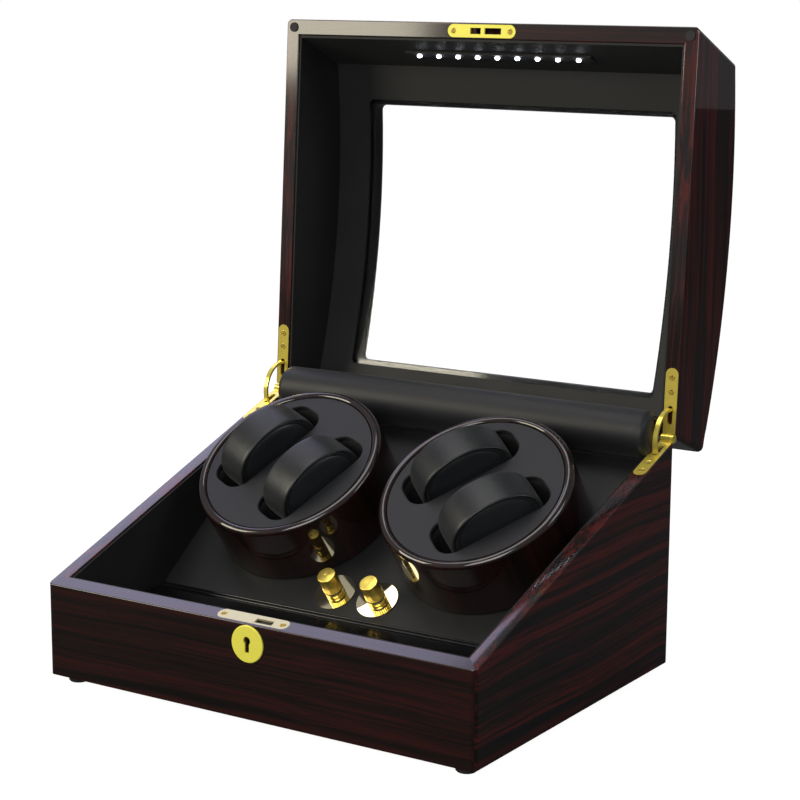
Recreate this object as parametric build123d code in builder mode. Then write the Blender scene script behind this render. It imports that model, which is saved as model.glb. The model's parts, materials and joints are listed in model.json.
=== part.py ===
"""Watch winder box: a lacquered case with a hinged, windowed lid over two winding turntables.

Millimetres, +Z up, +X to the right, -Y to the front.  The lid is modelled standing open on its stays.
The origin is at the middle of the whole open object, at the level that the rubber feet stand on.
"""

import os
from math import atan2, cos, degrees, hypot, pi, radians, sin, sqrt, tan

from build123d import *

os.makedirs("parts", exist_ok=True)

# ---------------------------------------------------------------- driving dimensions: the case
WIDTH = 340.0  # outside, left to right
DEPTH = 262.0  # outside, front to back
FRONT_HEIGHT = 64.0  # base wall at the front
BACK_HEIGHT = 158.0  # base wall at the back; the rim slopes between the two
WALL = 11.0
CORNER_RADIUS = 4.0
LID_FRONT = 69.0  # lid wall above the rim at the front
LID_BACK = 52.0  # lid wall above the rim at the back
LID_BULGE = 16.0  # rise of the lid's curved top above its chord
LID_BOARD = 12.5  # thickness of the curved top frame
LID_EDGE_ROUND = 5.0
RIM_GAP = 1.0  # between the two rims when shut
RIM_ROUND = 0.8
LEAN_BACK = 3.6  # the open lid leans this many degrees past upright
BOTTOM_BOARD = 6.0
FOOT_HEIGHT = 6.0
FOOT_RADIUS = 7.0
FOOT_INSET = 14.0
LINING = 1.5  # leatherette on card, inside the walls
LINING_SETBACK = 1.2  # below the rim
WINDOW_X = 254.0
WINDOW_Y = 197.0
WINDOW_CORNER = 4.0
WINDOW_LEDGE = 6.0  # the pane reaches this far under the frame
PANE = 2.5
TOP_LINING = 2.0

# ---------------------------------------------------------------- hinges, stays, lock and light
PIN_OUT = 1.5  # the hinge pin stands out past the back of the rim
PIN_RADIUS = 1.2
KNUCKLE_RADIUS = 3.0
LEAF_WIDTH = 9.6
LEAF_LENGTH = 44.0
LEAF = 1.5  # thickness, let in flush with the rim
LEAF_SLOT = (9.5, 22.5)  # from and to, measured from the pin
STAY_RADIUS = 20.0
STAY_THICK = 1.8
STAY_WIDTH = 3.2
STAY_HELD = 3.0  # degrees of stay left inside each leaf when open
MORTISE_EXTRA = 1.3  # degrees of mortise past the end of the shut stay
PLATE_LENGTH = 56.0
PLATE_WIDTH = 9.4
PLATE = 1.5
PLATE_CENTRE = 6.5  # from the front edge, along the rim
PLATE_SCREW_SPAN = 47.0
ESCUTCHEON_RADIUS = 12.5
ESCUTCHEON = 1.2
KEY_HEIGHT = 53.3  # turning axis of the lock, from the case's underside
KEY_SLOT = (3.4, 8.0)  # width, and reach below the key's axis
KEY_ROUND = 2.7
ESCUTCHEON_DROP = 2.3  # its middle lies this far below the key's axis
LOCK_LENGTH = 41.6
LOCK_THICK = 6.0
LOCK_DEPTH = 26.0  # below the key's axis
BARREL_RADIUS = 4.7
HOOK_INNER = 16.4
HOOK_OUTER = 19.2
HOOK_THICK = 3.0
HOOK_ROOM = 1.2  # each side of the raised hook, inside the lid
HUB_RADIUS = 5.5
HOOK_ARC = (38.0, 50.0)  # where the raised hook's arc starts, and its span, in degrees
HOOK_TURN = 60.0
PLATE_HOLE = (2.5, 16.2)  # from and to, right of the key, for the hook
STRIKER_HOLE = (-9.3, -0.6)  # the second hole of the striker
PLATE_HOLE_WIDTH = 4.4  # the hook passes at a slant to the plates
LED_COUNT = 9
LED_PITCH = 16.6
LED_DROP = 32.0  # from the lid's rim, along the front wall
LED_STRIP = 1.6  # thickness
LED_STRIP_WIDTH = 8.0
LED_CHIP = 5.0
LED_CHIP_HEIGHT = 1.4
LED_CORNER = 1.0
BUMPER_RADIUS = 3.5
BUMPER_RECESS = 2.0
BUMPER_GAP = 0.15  # left above the other rim when shut

# ---------------------------------------------------------------- winding turntables
TILT = 36.5  # deck and turntable faces, from level
DRUM_X = 77.0  # each side of the middle
DRUM_RADIUS = 69.0
DRUM_HEIGHT = 48.8
DRUM_FACE_Y = 150.2  # centre of the rim's plane, from the case's front
DRUM_FACE_Z = 134.4  # and from the case's underside
DRUM_INNER_RADIUS = 60.0  # below the ledge that the insert rests on
DRUM_FLOOR = 5.0
DRUM_LIFT = 1.2  # running gap above the deck
DRUM_TURN = {"left": 66.0, "right": 48.5}  # how far each has turned
INSERT_RADIUS = 62.1
INSERT = 3.0
INSERT_SETBACK = 2.0
SLOT_LENGTH = 86.5
SLOT_WIDTH = 35.0
SLOT_CORNER = 13.5
SLOT_OFFSET = 27.5
WELL_WALL = 1.2
PILLOW_LENGTH = 69.0
PILLOW_HEIGHT = 52.0
PILLOW_WIDTH = 29.0
PILLOW_SINK = 4.0  # its middle lies this far below the insert's face
DECK_BOARD = 5.0
DECK_REACH = 91.0  # from the turntable axis down to the deck's front edge
KNOB_X = 17.4
KNOB_REACH = 70.0
KNOB_RADIUS = 6.5
KNOB_HEIGHT = 18.0
BEZEL_RADIUS = 15.0
BEZEL = 1.0
BOLSTER_RADIUS = 17.5
BOLSTER_RISE = 163.5  # its middle, from the case's underside

# ---------------------------------------------------------------- drive under the deck
GEAR_MODULE = 1.0
GEAR_TEETH = 60
PINION_TEETH = 15
GEAR_WIDTH = 6.0
GEAR_BACKLASH = 0.16
SHAFT_RADIUS = 5.0
RUNNING_FIT = 0.05
BUSH_RADIUS = 9.0
BUSH_FLANGE = 13.0
MOTOR_SHAFT_RADIUS = 3.0
GEARBOX_RADIUS = 18.5
GEARBOX_HEIGHT = 20.0
MOTOR_RADIUS = 12.5
MOTOR_HEIGHT = 28.0
BRACKET = 2.0
JACK_X = -95.0
JACK_Z = 32.0
JACK_RADIUS = 4.0  # the socket's bore
JACK_BARREL = 5.9
BOARD_X = 96.0
BOARD_Y = 44.0
CLEAR = 0.3  # around a moving piece
LET_IN = 0.1  # a let-in piece is this much smaller than its recess

# ---------------------------------------------------------------- worked-out geometry of the case
SLOPE = atan2(BACK_HEIGHT - FRONT_HEIGHT, DEPTH)
RIM_LENGTH = hypot(DEPTH, BACK_HEIGHT - FRONT_HEIGHT)
OPENING = 90 + degrees(SLOPE) + LEAN_BACK
STAY_TURN = OPENING / 2
PIN_Y = DEPTH + PIN_OUT * cos(SLOPE) - RIM_GAP / 2 * sin(SLOPE)
PIN_Z = BACK_HEIGHT + PIN_OUT * sin(SLOPE) + RIM_GAP / 2 * cos(SLOPE)

# The lid's top is part of a cylinder that lies along X.
crown_rise = BACK_HEIGHT + LID_BACK - FRONT_HEIGHT - LID_FRONT
crown_chord = hypot(DEPTH, crown_rise)
CROWN_TILT = atan2(crown_rise, DEPTH)
CROWN_RADIUS = (crown_chord**2 / 4 + LID_BULGE**2) / (2 * LID_BULGE)
CROWN_Y = DEPTH / 2 + (CROWN_RADIUS - LID_BULGE) * sin(CROWN_TILT)
CROWN_Z = FRONT_HEIGHT + LID_FRONT + crown_rise / 2 - (CROWN_RADIUS - LID_BULGE) * cos(CROWN_TILT)

# Reach of the open lid behind the case's front, which sets where the middle of the object is.
swing = radians(OPENING)
lid_reach = PIN_Y + (CROWN_Y - PIN_Y) * cos(swing) + (CROWN_Z - PIN_Z) * sin(swing) + CROWN_RADIUS
FRONT = -(lid_reach - ESCUTCHEON) / 2

box = Plane(origin=(0, FRONT, FOOT_HEIGHT))
lid_up = Vector(0, sin(swing), cos(swing))
lid_back = Vector(0, cos(swing), -sin(swing))
pin_point = box.from_local_coords(Vector(0, PIN_Y, PIN_Z))
lid_box = Plane(
    origin=pin_point - lid_back * PIN_Y - lid_up * PIN_Z,
    x_dir=(1, 0, 0),
    z_dir=lid_up,
)


def side_view(frame, x=0.0):
    """A plane across the frame at x: its own x is the frame's y, its own y is the frame's z."""
    origin = frame.from_local_coords(Vector(x, 0, 0))
    return Plane(origin=origin, x_dir=frame.y_dir, z_dir=frame.x_dir)


def tilted(frame, y, z, angle, x=0.0):
    """A plane through (x, y, z) of the frame that climbs towards the back at the angle in degrees."""
    origin = frame.from_local_coords(Vector(x, y, z))
    normal = frame.z_dir * cos(radians(angle)) - frame.y_dir * sin(radians(angle))
    return Plane(origin=origin, x_dir=frame.x_dir, z_dir=normal)


def front_view(frame, y=0.0):
    """A plane parallel to the frame's front, y behind it: its own y is up, its normal is to the front."""
    origin = frame.from_local_coords(Vector(0, y, 0))
    return Plane(origin=origin, x_dir=frame.x_dir, z_dir=-frame.y_dir)


base_rim = tilted(box, 0, FRONT_HEIGHT, degrees(SLOPE))
lid_rim = tilted(lid_box, 0, FRONT_HEIGHT, degrees(SLOPE)).offset(RIM_GAP)
PIN_ALONG = RIM_LENGTH + PIN_OUT  # the pin's place along either rim
HINGE_X = WIDTH / 2 - WALL / 2
SIDES = {"left": -1, "right": 1}
RIM_ANGLE = 180 + degrees(SLOPE)  # direction of the rim seen from the pin, in the side view


def arc_band(inner, outer, start, span):
    """The flat shape of a band between two radii, around its own origin."""
    with BuildSketch() as band:
        with BuildLine():
            far = CenterArc((0, 0), outer, start, span)
            near = CenterArc((0, 0), inner, start, span)
            Line(far @ 0, near @ 0)
            Line(far @ 1, near @ 1)
        make_face()
    return band.sketch


def inside(frame, margin, low, high):
    """A block that fills the walls' inside less a margin, used only to trim other pieces."""
    with BuildPart() as block:
        with BuildSketch(frame.offset(low)):
            with Locations((0, DEPTH / 2)):
                Rectangle(WIDTH - 2 * (WALL + margin), DEPTH - 2 * (WALL + margin))
        extrude(amount=high - low)
    return block.part


def crown_solid(frame, radius, half_width):
    """Everything of the frame that lies under the lid's curved top, at the radius given."""
    with BuildPart() as crown:
        with BuildSketch(side_view(frame)):
            with Locations((CROWN_Y, CROWN_Z)):
                Circle(radius)
        extrude(amount=half_width, both=True)
    return crown.part


# ---------------------------------------------------------------- screws
HEAD_RADIUS = 2.2
HEAD_DEPTH = 1.2
HEAD_TAPER = 40  # half angle of the countersink, in degrees
SEAT_GAP = 0.02
SCREW_RADIUS = 1.2
SCREW_LENGTH = 8.0
SCREW_SLOT = 0.5


def screws(plane, spots, into=-1, length=SCREW_LENGTH):
    """Countersunk cross-slot screws with their heads flush with the plane, as separate solids."""
    with BuildPart() as made:
        for spot in spots:
            with BuildSketch(plane):
                with Locations(spot):
                    Circle(HEAD_RADIUS)
            extrude(amount=into * HEAD_DEPTH, taper=HEAD_TAPER)
            with BuildSketch(plane):
                with Locations(spot):
                    Circle(SCREW_RADIUS)
            extrude(amount=into * length)
            with BuildSketch(plane):
                with Locations(spot):
                    Rectangle(HEAD_RADIUS, SCREW_SLOT)
                    Rectangle(SCREW_SLOT, HEAD_RADIUS)
            extrude(amount=into * HEAD_DEPTH / 2, mode=Mode.SUBTRACT)
    return made.part


def screw_seats(plane, spots, into=-1, length=SCREW_LENGTH):
    """The countersinks and holes that the screws sit in, a hair larger than they are."""
    with BuildPart() as cut:
        for spot in spots:
            with BuildSketch(plane):
                with Locations(spot):
                    Circle(HEAD_RADIUS + SEAT_GAP)
            extrude(amount=into * HEAD_DEPTH, taper=HEAD_TAPER)
            with BuildSketch(plane):
                with Locations(spot):
                    Circle(SCREW_RADIUS + SEAT_GAP)
            extrude(amount=into * (length + LET_IN))
    return cut.part


LEAF_SCREWS = (LEAF_LENGTH - 2, LEAF_LENGTH - 12)  # back from the pin along the leaf
hinge_spots = [(side * HINGE_X, PIN_ALONG - back) for side in SIDES.values() for back in LEAF_SCREWS]
plate_spots = [(side * PLATE_SCREW_SPAN / 2, PLATE_CENTRE) for side in SIDES.values()]
foot_spots = [
    (side * (WIDTH / 2 - FOOT_INSET), y) for side in SIDES.values() for y in (FOOT_INSET, DEPTH - FOOT_INSET)
]
FOOT_RECESS = 2.5
foot_screw_plane = box.offset(FOOT_RECESS - FOOT_HEIGHT)
base_screw_seats = screw_seats(base_rim, hinge_spots + plate_spots)
base_screw_seats += screw_seats(foot_screw_plane, foot_spots, 1)
lid_screw_seats = screw_seats(lid_rim, hinge_spots + plate_spots, 1)

# ---------------------------------------------------------------- wall rings, split into panels
mortise_inner = STAY_RADIUS - STAY_THICK / 2 - 2 * CLEAR
mortise_outer = STAY_RADIUS + STAY_THICK / 2 + 2 * CLEAR
MORTISE_MOUTH = 8.0  # degrees past the rim's plane, so that the mouth is cut clean
mortise_span = STAY_TURN + STAY_HELD + MORTISE_EXTRA
base_mortise = arc_band(mortise_inner, mortise_outer, RIM_ANGLE - MORTISE_MOUTH, mortise_span + MORTISE_MOUTH)
lid_mortise = arc_band(mortise_inner, mortise_outer, RIM_ANGLE - mortise_span, mortise_span + MORTISE_MOUTH)

with BuildPart() as base_walls:
    with BuildSketch(box):
        with Locations((0, DEPTH / 2)):
            RectangleRounded(WIDTH, DEPTH, CORNER_RADIUS)
    extrude(amount=BACK_HEIGHT)
    with BuildSketch(box):
        with Locations((0, DEPTH / 2)):
            Rectangle(WIDTH - 2 * WALL, DEPTH - 2 * WALL)
    extrude(amount=BACK_HEIGHT, mode=Mode.SUBTRACT)
    split(bisect_by=base_rim, keep=Keep.BOTTOM)
    rim_edges = base_walls.faces().filter_by(Plane(base_rim.origin, z_dir=base_rim.z_dir)).edges()
    fillet(rim_edges, RIM_ROUND)
    # hinge leaves, their knuckles and the stays' mortises
    for side in SIDES.values():
        with BuildSketch(base_rim):
            with Locations((side * HINGE_X, PIN_ALONG - LEAF_LENGTH / 2)):
                SlotOverall(LEAF_LENGTH + LEAF_WIDTH, LEAF_WIDTH, rotation=90)
        extrude(amount=-LEAF, mode=Mode.SUBTRACT)
        with BuildSketch(side_view(box, side * HINGE_X)):
            with Locations((PIN_Y, PIN_Z)):
                Circle(KNUCKLE_RADIUS + 2 * CLEAR)
        extrude(amount=LEAF_WIDTH / 2 + CLEAR, both=True, mode=Mode.SUBTRACT)
        with BuildSketch(side_view(box, side * HINGE_X)):
            with Locations((PIN_Y, PIN_Z)):
                add(base_mortise)
        extrude(amount=STAY_WIDTH / 2 + CLEAR, both=True, mode=Mode.SUBTRACT)
    # lock plate, the lock's mortise below it and the key hole
    with BuildSketch(base_rim):
        with Locations((0, PLATE_CENTRE)):
            SlotOverall(PLATE_LENGTH, PLATE_WIDTH)
    extrude(amount=-PLATE, mode=Mode.SUBTRACT)
    with BuildSketch(box.offset(KEY_HEIGHT - LOCK_DEPTH)):
        with Locations((0, WALL / 2)):
            Rectangle(LOCK_LENGTH + CLEAR, LOCK_THICK + CLEAR)
    extrude(amount=LOCK_DEPTH + 2 * WALL, mode=Mode.SUBTRACT)
    with BuildSketch(front_view(box, WALL / 2)):
        with Locations((0, KEY_HEIGHT)):
            Circle(BARREL_RADIUS + LET_IN)
    extrude(amount=WALL, mode=Mode.SUBTRACT)
    add(base_screw_seats, mode=Mode.SUBTRACT)
    # the power inlet
    with BuildSketch(front_view(box, DEPTH)):
        with Locations((JACK_X, JACK_Z)):
            Circle(JACK_BARREL + LET_IN)
    extrude(amount=WALL, mode=Mode.SUBTRACT)

with BuildPart() as lid_walls:
    with BuildSketch(lid_box.offset(FRONT_HEIGHT - WALL)):
        with Locations((0, DEPTH / 2)):
            RectangleRounded(WIDTH, DEPTH, CORNER_RADIUS)
    extrude(amount=BACK_HEIGHT + LID_BACK)
    add(crown_solid(lid_box, CROWN_RADIUS, WIDTH), mode=Mode.INTERSECT)
    crown_edges = lid_walls.faces().filter_by(GeomType.CYLINDER).sort_by(SortBy.AREA)[-1].edges()
    fillet(crown_edges, LID_EDGE_ROUND)
    with BuildSketch(lid_box):
        with Locations((0, DEPTH / 2)):
            Rectangle(WIDTH - 2 * WALL, DEPTH - 2 * WALL)
    extrude(amount=2 * (BACK_HEIGHT + LID_BACK), mode=Mode.SUBTRACT)
    split(bisect_by=lid_rim, keep=Keep.TOP)
    rim_edges = lid_walls.faces().filter_by(Plane(lid_rim.origin, z_dir=lid_rim.z_dir)).edges()
    fillet(rim_edges, RIM_ROUND)
    for side in SIDES.values():
        with BuildSketch(lid_rim):
            with Locations((side * HINGE_X, PIN_ALONG - LEAF_LENGTH / 2)):
                SlotOverall(LEAF_LENGTH + LEAF_WIDTH, LEAF_WIDTH, rotation=90)
        extrude(amount=LEAF, mode=Mode.SUBTRACT)
        with BuildSketch(side_view(lid_box, side * HINGE_X)):
            with Locations((PIN_Y, PIN_Z)):
                Circle(KNUCKLE_RADIUS + 2 * CLEAR)
        extrude(amount=LEAF_WIDTH / 2 + CLEAR, both=True, mode=Mode.SUBTRACT)
        with BuildSketch(side_view(lid_box, side * HINGE_X)):
            with Locations((PIN_Y, PIN_Z)):
                add(lid_mortise)
        extrude(amount=STAY_WIDTH / 2 + CLEAR, both=True, mode=Mode.SUBTRACT)
        with BuildSketch(lid_rim):
            with Locations((side * (WIDTH / 2 - PLATE_CENTRE), PLATE_CENTRE)):
                Circle(BUMPER_RADIUS)
        extrude(amount=BUMPER_RECESS, mode=Mode.SUBTRACT)
    with BuildSketch(lid_rim):
        with Locations((0, PLATE_CENTRE)):
            SlotOverall(PLATE_LENGTH, PLATE_WIDTH)
    extrude(amount=PLATE, mode=Mode.SUBTRACT)
    # room for the raised hook above the striker plate
    with BuildSketch(lid_box.offset(FRONT_HEIGHT)):
        with Locations((HOOK_OUTER / 2 - 2, WALL / 2)):
            Rectangle(HOOK_OUTER + 6, HOOK_THICK + 2 * HOOK_ROOM)
    extrude(amount=KEY_HEIGHT + HOOK_OUTER + 2 - FRONT_HEIGHT, mode=Mode.SUBTRACT)
    add(lid_screw_seats, mode=Mode.SUBTRACT)

HALF_X = WIDTH / 2
MITRE = 2 * WALL
MITRE_X = HALF_X - MITRE
MITRE_Y = DEPTH - MITRE
WEDGES = {
    "front": [(-HALF_X, 0), (HALF_X, 0), (MITRE_X, MITRE), (-MITRE_X, MITRE)],
    "back": [(-HALF_X, DEPTH), (HALF_X, DEPTH), (MITRE_X, MITRE_Y), (-MITRE_X, MITRE_Y)],
    "left": [(-HALF_X, 0), (-HALF_X, DEPTH), (-HALF_X + MITRE, DEPTH - MITRE), (-HALF_X + MITRE, MITRE)],
    "right": [(HALF_X, 0), (HALF_X, DEPTH), (HALF_X - MITRE, DEPTH - MITRE), (HALF_X - MITRE, MITRE)],
}
for where, wedge in WEDGES.items():
    with BuildPart() as base_panel:
        add(base_walls.part)
        with BuildSketch(box):
            Polygon(*wedge, align=None)
        extrude(amount=BACK_HEIGHT + LID_BACK, mode=Mode.INTERSECT)
    base_panel.part.label = f"base_{where}_panel"
    export_step(base_panel.part, f"parts/base_{where}_panel.step")

    with BuildPart() as lid_panel:
        add(lid_walls.part)
        with BuildSketch(lid_box):
            Polygon(*wedge, align=None)
        extrude(amount=2 * (BACK_HEIGHT + LID_BACK), mode=Mode.INTERSECT)
    lid_panel.part.label = f"lid_{where}_panel"
    export_step(lid_panel.part, f"parts/lid_{where}_panel.step")

# ---------------------------------------------------------------- lid: curved frame, pane, linings
window_plane = tilted(
    lid_box,
    CROWN_Y - (CROWN_RADIUS + 20) * sin(CROWN_TILT),
    CROWN_Z + (CROWN_RADIUS + 20) * cos(CROWN_TILT),
    degrees(CROWN_TILT),
)


def crown_shell(inner, outer, margin):
    """A curved board between two radii, set a margin inside the lid's walls."""
    with BuildPart() as shell:
        add(inside(lid_box, margin, FRONT_HEIGHT, 2 * BACK_HEIGHT))
        add(crown_solid(lid_box, outer, WIDTH), mode=Mode.INTERSECT)
        add(crown_solid(lid_box, inner, WIDTH), mode=Mode.SUBTRACT)
    return shell.part


def window_block(extra, corner):
    """A block through the lid's top, as large as the window and a border, for cutting or keeping."""
    with BuildPart() as block:
        with BuildSketch(window_plane):
            RectangleRounded(WINDOW_X + 2 * extra, WINDOW_Y + 2 * extra, corner)
        extrude(amount=-(LID_BULGE + LID_BOARD + 60))
    return block.part


frame_under = CROWN_RADIUS - LID_BOARD
with BuildPart() as lid_top_frame:
    add(crown_shell(frame_under, CROWN_RADIUS, 0))
    add(window_block(0, WINDOW_CORNER), mode=Mode.SUBTRACT)
    add(
        crown_solid(lid_box, frame_under + PANE, WIDTH) & window_block(WINDOW_LEDGE, WINDOW_CORNER),
        mode=Mode.SUBTRACT,
    )
lid_top_frame.part.label = "lid_top_frame"
export_step(lid_top_frame.part, "parts/lid_top_frame.step")

with BuildPart() as window_pane:
    add(crown_shell(frame_under, frame_under + PANE, 0))
    add(window_block(WINDOW_LEDGE - CLEAR, WINDOW_CORNER), mode=Mode.INTERSECT)
window_pane.part.label = "window_pane"
export_step(window_pane.part, "parts/window_pane.step")

with BuildPart() as lid_top_lining:
    add(crown_shell(frame_under - TOP_LINING, frame_under, LINING))
    add(window_block(WINDOW_LEDGE / 2, WINDOW_CORNER), mode=Mode.SUBTRACT)
lid_top_lining.part.label = "lid_top_lining"
export_step(lid_top_lining.part, "parts/lid_top_lining.step")

with BuildPart() as lid_wall_lining:
    add(inside(lid_box, 0, FRONT_HEIGHT, 2 * BACK_HEIGHT))
    add(inside(lid_box, LINING, FRONT_HEIGHT - 1, 2 * BACK_HEIGHT + 1), mode=Mode.SUBTRACT)
    add(crown_solid(lid_box, frame_under, WIDTH), mode=Mode.INTERSECT)
    split(bisect_by=lid_rim.offset(LINING_SETBACK), keep=Keep.TOP)
lid_wall_lining.part.label = "lid_wall_lining"
export_step(lid_wall_lining.part, "parts/lid_wall_lining.step")

# the light strip on the front wall's lining, with its row of lamps
LED_Z = FRONT_HEIGHT + LED_DROP
led_face = front_view(lid_box, WALL + LINING)
with BuildPart() as led_strip:
    with BuildSketch(led_face):
        with Locations((0, LED_Z)):
            RectangleRounded(LED_COUNT * LED_PITCH + 6, LED_STRIP_WIDTH, LED_CORNER)
    extrude(amount=-LED_STRIP)
led_strip.part.label = "led_strip"
export_step(led_strip.part, "parts/led_strip.step")

with BuildPart() as led_chips:
    with BuildSketch(led_face.offset(-LED_STRIP)):
        with Locations((0, LED_Z)):
            with GridLocations(LED_PITCH, 0, LED_COUNT, 1):
                RectangleRounded(LED_CHIP, LED_CHIP, LED_CORNER)
    extrude(amount=-LED_CHIP_HEIGHT)
    chip_tops = led_chips.faces().filter_by(led_face).group_by(Axis(led_face.origin, -led_face.z_dir))[-1]
    fillet(chip_tops.edges(), 0.6)
led_chips.part.label = "led_chips"
export_step(led_chips.part, "parts/led_chips.step")

with BuildPart() as lid_bumpers:
    with BuildSketch(lid_rim.offset(BUMPER_RECESS)):
        for side in SIDES.values():
            with Locations((side * (WIDTH / 2 - PLATE_CENTRE), PLATE_CENTRE)):
                Circle(BUMPER_RADIUS)
    extrude(amount=-(BUMPER_RECESS + RIM_GAP - BUMPER_GAP))
lid_bumpers.part.label = "lid_bumpers"
export_step(lid_bumpers.part, "parts/lid_bumpers.step")

# ---------------------------------------------------------------- hinges and stays


def hinge_leaves(frame, rim, into, own_knuckles):
    """A pair of leaves let into a rim, with the knuckles that this half of each hinge carries."""
    third = LEAF_WIDTH / 3
    with BuildPart() as leaves:
        for side in SIDES.values():
            with BuildSketch(rim):
                with Locations((side * HINGE_X, PIN_ALONG - LEAF_LENGTH / 2)):
                    SlotOverall(LEAF_LENGTH + LEAF_WIDTH, LEAF_WIDTH - LET_IN, rotation=90)
                with Locations((side * HINGE_X, PIN_ALONG + LEAF_WIDTH / 2)):
                    Rectangle(LEAF_WIDTH, LEAF_WIDTH, mode=Mode.SUBTRACT)
                with Locations((side * HINGE_X, PIN_ALONG - sum(LEAF_SLOT) / 2)):
                    slot_length = LEAF_SLOT[1] - LEAF_SLOT[0]
                    SlotOverall(slot_length, STAY_WIDTH + 2 * CLEAR, rotation=90, mode=Mode.SUBTRACT)
            extrude(amount=into * LEAF)
            for place in (-1, 0, 1):
                knuckle_plane = side_view(frame, side * HINGE_X + place * third)
                mine = place in own_knuckles
                with BuildSketch(knuckle_plane):
                    with Locations((PIN_Y, PIN_Z)):
                        Circle(KNUCKLE_RADIUS if mine else KNUCKLE_RADIUS + CLEAR)
                extrude(
                    amount=third / 2 - (LET_IN if mine else 0),
                    both=True,
                    mode=Mode.ADD if mine else Mode.SUBTRACT,
                )
            with BuildSketch(side_view(frame, side * HINGE_X)):
                with Locations((PIN_Y, PIN_Z)):
                    Circle(PIN_RADIUS + RUNNING_FIT)
            extrude(amount=LEAF_WIDTH, both=True, mode=Mode.SUBTRACT)
        add(screw_seats(rim, hinge_spots, into), mode=Mode.SUBTRACT)
    return leaves.part


with BuildPart() as hinge_base_leaves:
    add(hinge_leaves(box, base_rim, -1, (-1, 1)))
hinge_base_leaves.part.label = "hinge_base_leaves"
export_step(hinge_base_leaves.part, "parts/hinge_base_leaves.step")

with BuildPart() as hinge_lid_leaves:
    add(hinge_leaves(lid_box, lid_rim, 1, (0,)))
hinge_lid_leaves.part.label = "hinge_lid_leaves"
export_step(hinge_lid_leaves.part, "parts/hinge_lid_leaves.step")

with BuildPart() as hinge_pins:
    for side in SIDES.values():
        with BuildSketch(side_view(box, side * HINGE_X)):
            with Locations((PIN_Y, PIN_Z)):
                Circle(PIN_RADIUS)
        extrude(amount=LEAF_WIDTH / 2 - LET_IN, both=True)
hinge_pins.part.label = "hinge_pins"
export_step(hinge_pins.part, "parts/hinge_pins.step")

for name, side in SIDES.items():
    with BuildPart() as stay_arm:
        with BuildSketch(side_view(box, side * HINGE_X)):
            with Locations((PIN_Y, PIN_Z)):
                add(
                    arc_band(
                        STAY_RADIUS - STAY_THICK / 2,
                        STAY_RADIUS + STAY_THICK / 2,
                        RIM_ANGLE - OPENING - STAY_HELD,
                        OPENING + 2 * STAY_HELD,
                    )
                )
        extrude(amount=STAY_WIDTH / 2, both=True)
    stay_arm.part.label = f"stay_arm_{name}"
    export_step(stay_arm.part, f"parts/stay_arm_{name}.step")

# ---------------------------------------------------------------- lock


def hook_along(above):
    """Where the upright hook crosses a level this far above the base's rim, measured along the rim."""
    return (WALL / 2 + above * sin(SLOPE)) / cos(SLOPE)


with BuildPart() as lock_plate:
    with BuildSketch(base_rim):
        with Locations((0, PLATE_CENTRE)):
            SlotOverall(PLATE_LENGTH - LET_IN, PLATE_WIDTH - LET_IN)
        with Locations((sum(PLATE_HOLE) / 2, hook_along(-PLATE / 2))):
            Rectangle(PLATE_HOLE[1] - PLATE_HOLE[0], PLATE_HOLE_WIDTH, mode=Mode.SUBTRACT)
    extrude(amount=-PLATE)
    add(screw_seats(base_rim, plate_spots), mode=Mode.SUBTRACT)
lock_plate.part.label = "lock_plate"
export_step(lock_plate.part, "parts/lock_plate.step")

with BuildPart() as striker_plate:
    with BuildSketch(lid_rim):
        with Locations((0, PLATE_CENTRE)):
            SlotOverall(PLATE_LENGTH - LET_IN, PLATE_WIDTH - LET_IN)
        for hole in (PLATE_HOLE, STRIKER_HOLE):
            with Locations((sum(hole) / 2, hook_along(RIM_GAP + PLATE / 2))):
                Rectangle(hole[1] - hole[0], PLATE_HOLE_WIDTH, mode=Mode.SUBTRACT)
    extrude(amount=PLATE)
    add(screw_seats(lid_rim, plate_spots, 1), mode=Mode.SUBTRACT)
striker_plate.part.label = "striker_plate"
export_step(striker_plate.part, "parts/striker_plate.step")

key_plane = front_view(box, WALL / 2)
CASE_SKIN = 1.0
HOOK_PLAY = 0.4  # of the barrel's tail past the hook
with BuildPart() as lock_case:
    with BuildSketch(box.offset(KEY_HEIGHT - LOCK_DEPTH)):
        with Locations((0, WALL / 2)):
            Rectangle(LOCK_LENGTH, LOCK_THICK)
    extrude(amount=LOCK_DEPTH + WALL)
    split(bisect_by=base_rim.offset(-PLATE), keep=Keep.BOTTOM)
    with BuildSketch(key_plane):
        with Locations(((HOOK_OUTER - HUB_RADIUS) / 2, KEY_HEIGHT + 4)):
            Rectangle(HOOK_OUTER + HUB_RADIUS + 2, HOOK_OUTER + 14)
    extrude(amount=LOCK_THICK / 2 - CASE_SKIN, both=True, mode=Mode.SUBTRACT)
    with BuildSketch(key_plane):
        with Locations((0, KEY_HEIGHT)):
            Circle(BARREL_RADIUS + LET_IN)
    extrude(amount=WALL, mode=Mode.SUBTRACT)
    with BuildSketch(key_plane):
        with Locations((0, KEY_HEIGHT)):
            Circle(3 + RUNNING_FIT)
    extrude(amount=-WALL, mode=Mode.SUBTRACT)
lock_case.part.label = "lock_case"
export_step(lock_case.part, "parts/lock_case.step")


def key_hole_sketch():
    """The key hole: a round bow with a straight slot below it, around the key's axis."""
    with BuildSketch() as outline:
        Circle(KEY_ROUND)
        with Locations((0, -KEY_SLOT[1] / 2)):
            Rectangle(KEY_SLOT[0], KEY_SLOT[1])
    return outline.sketch


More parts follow.
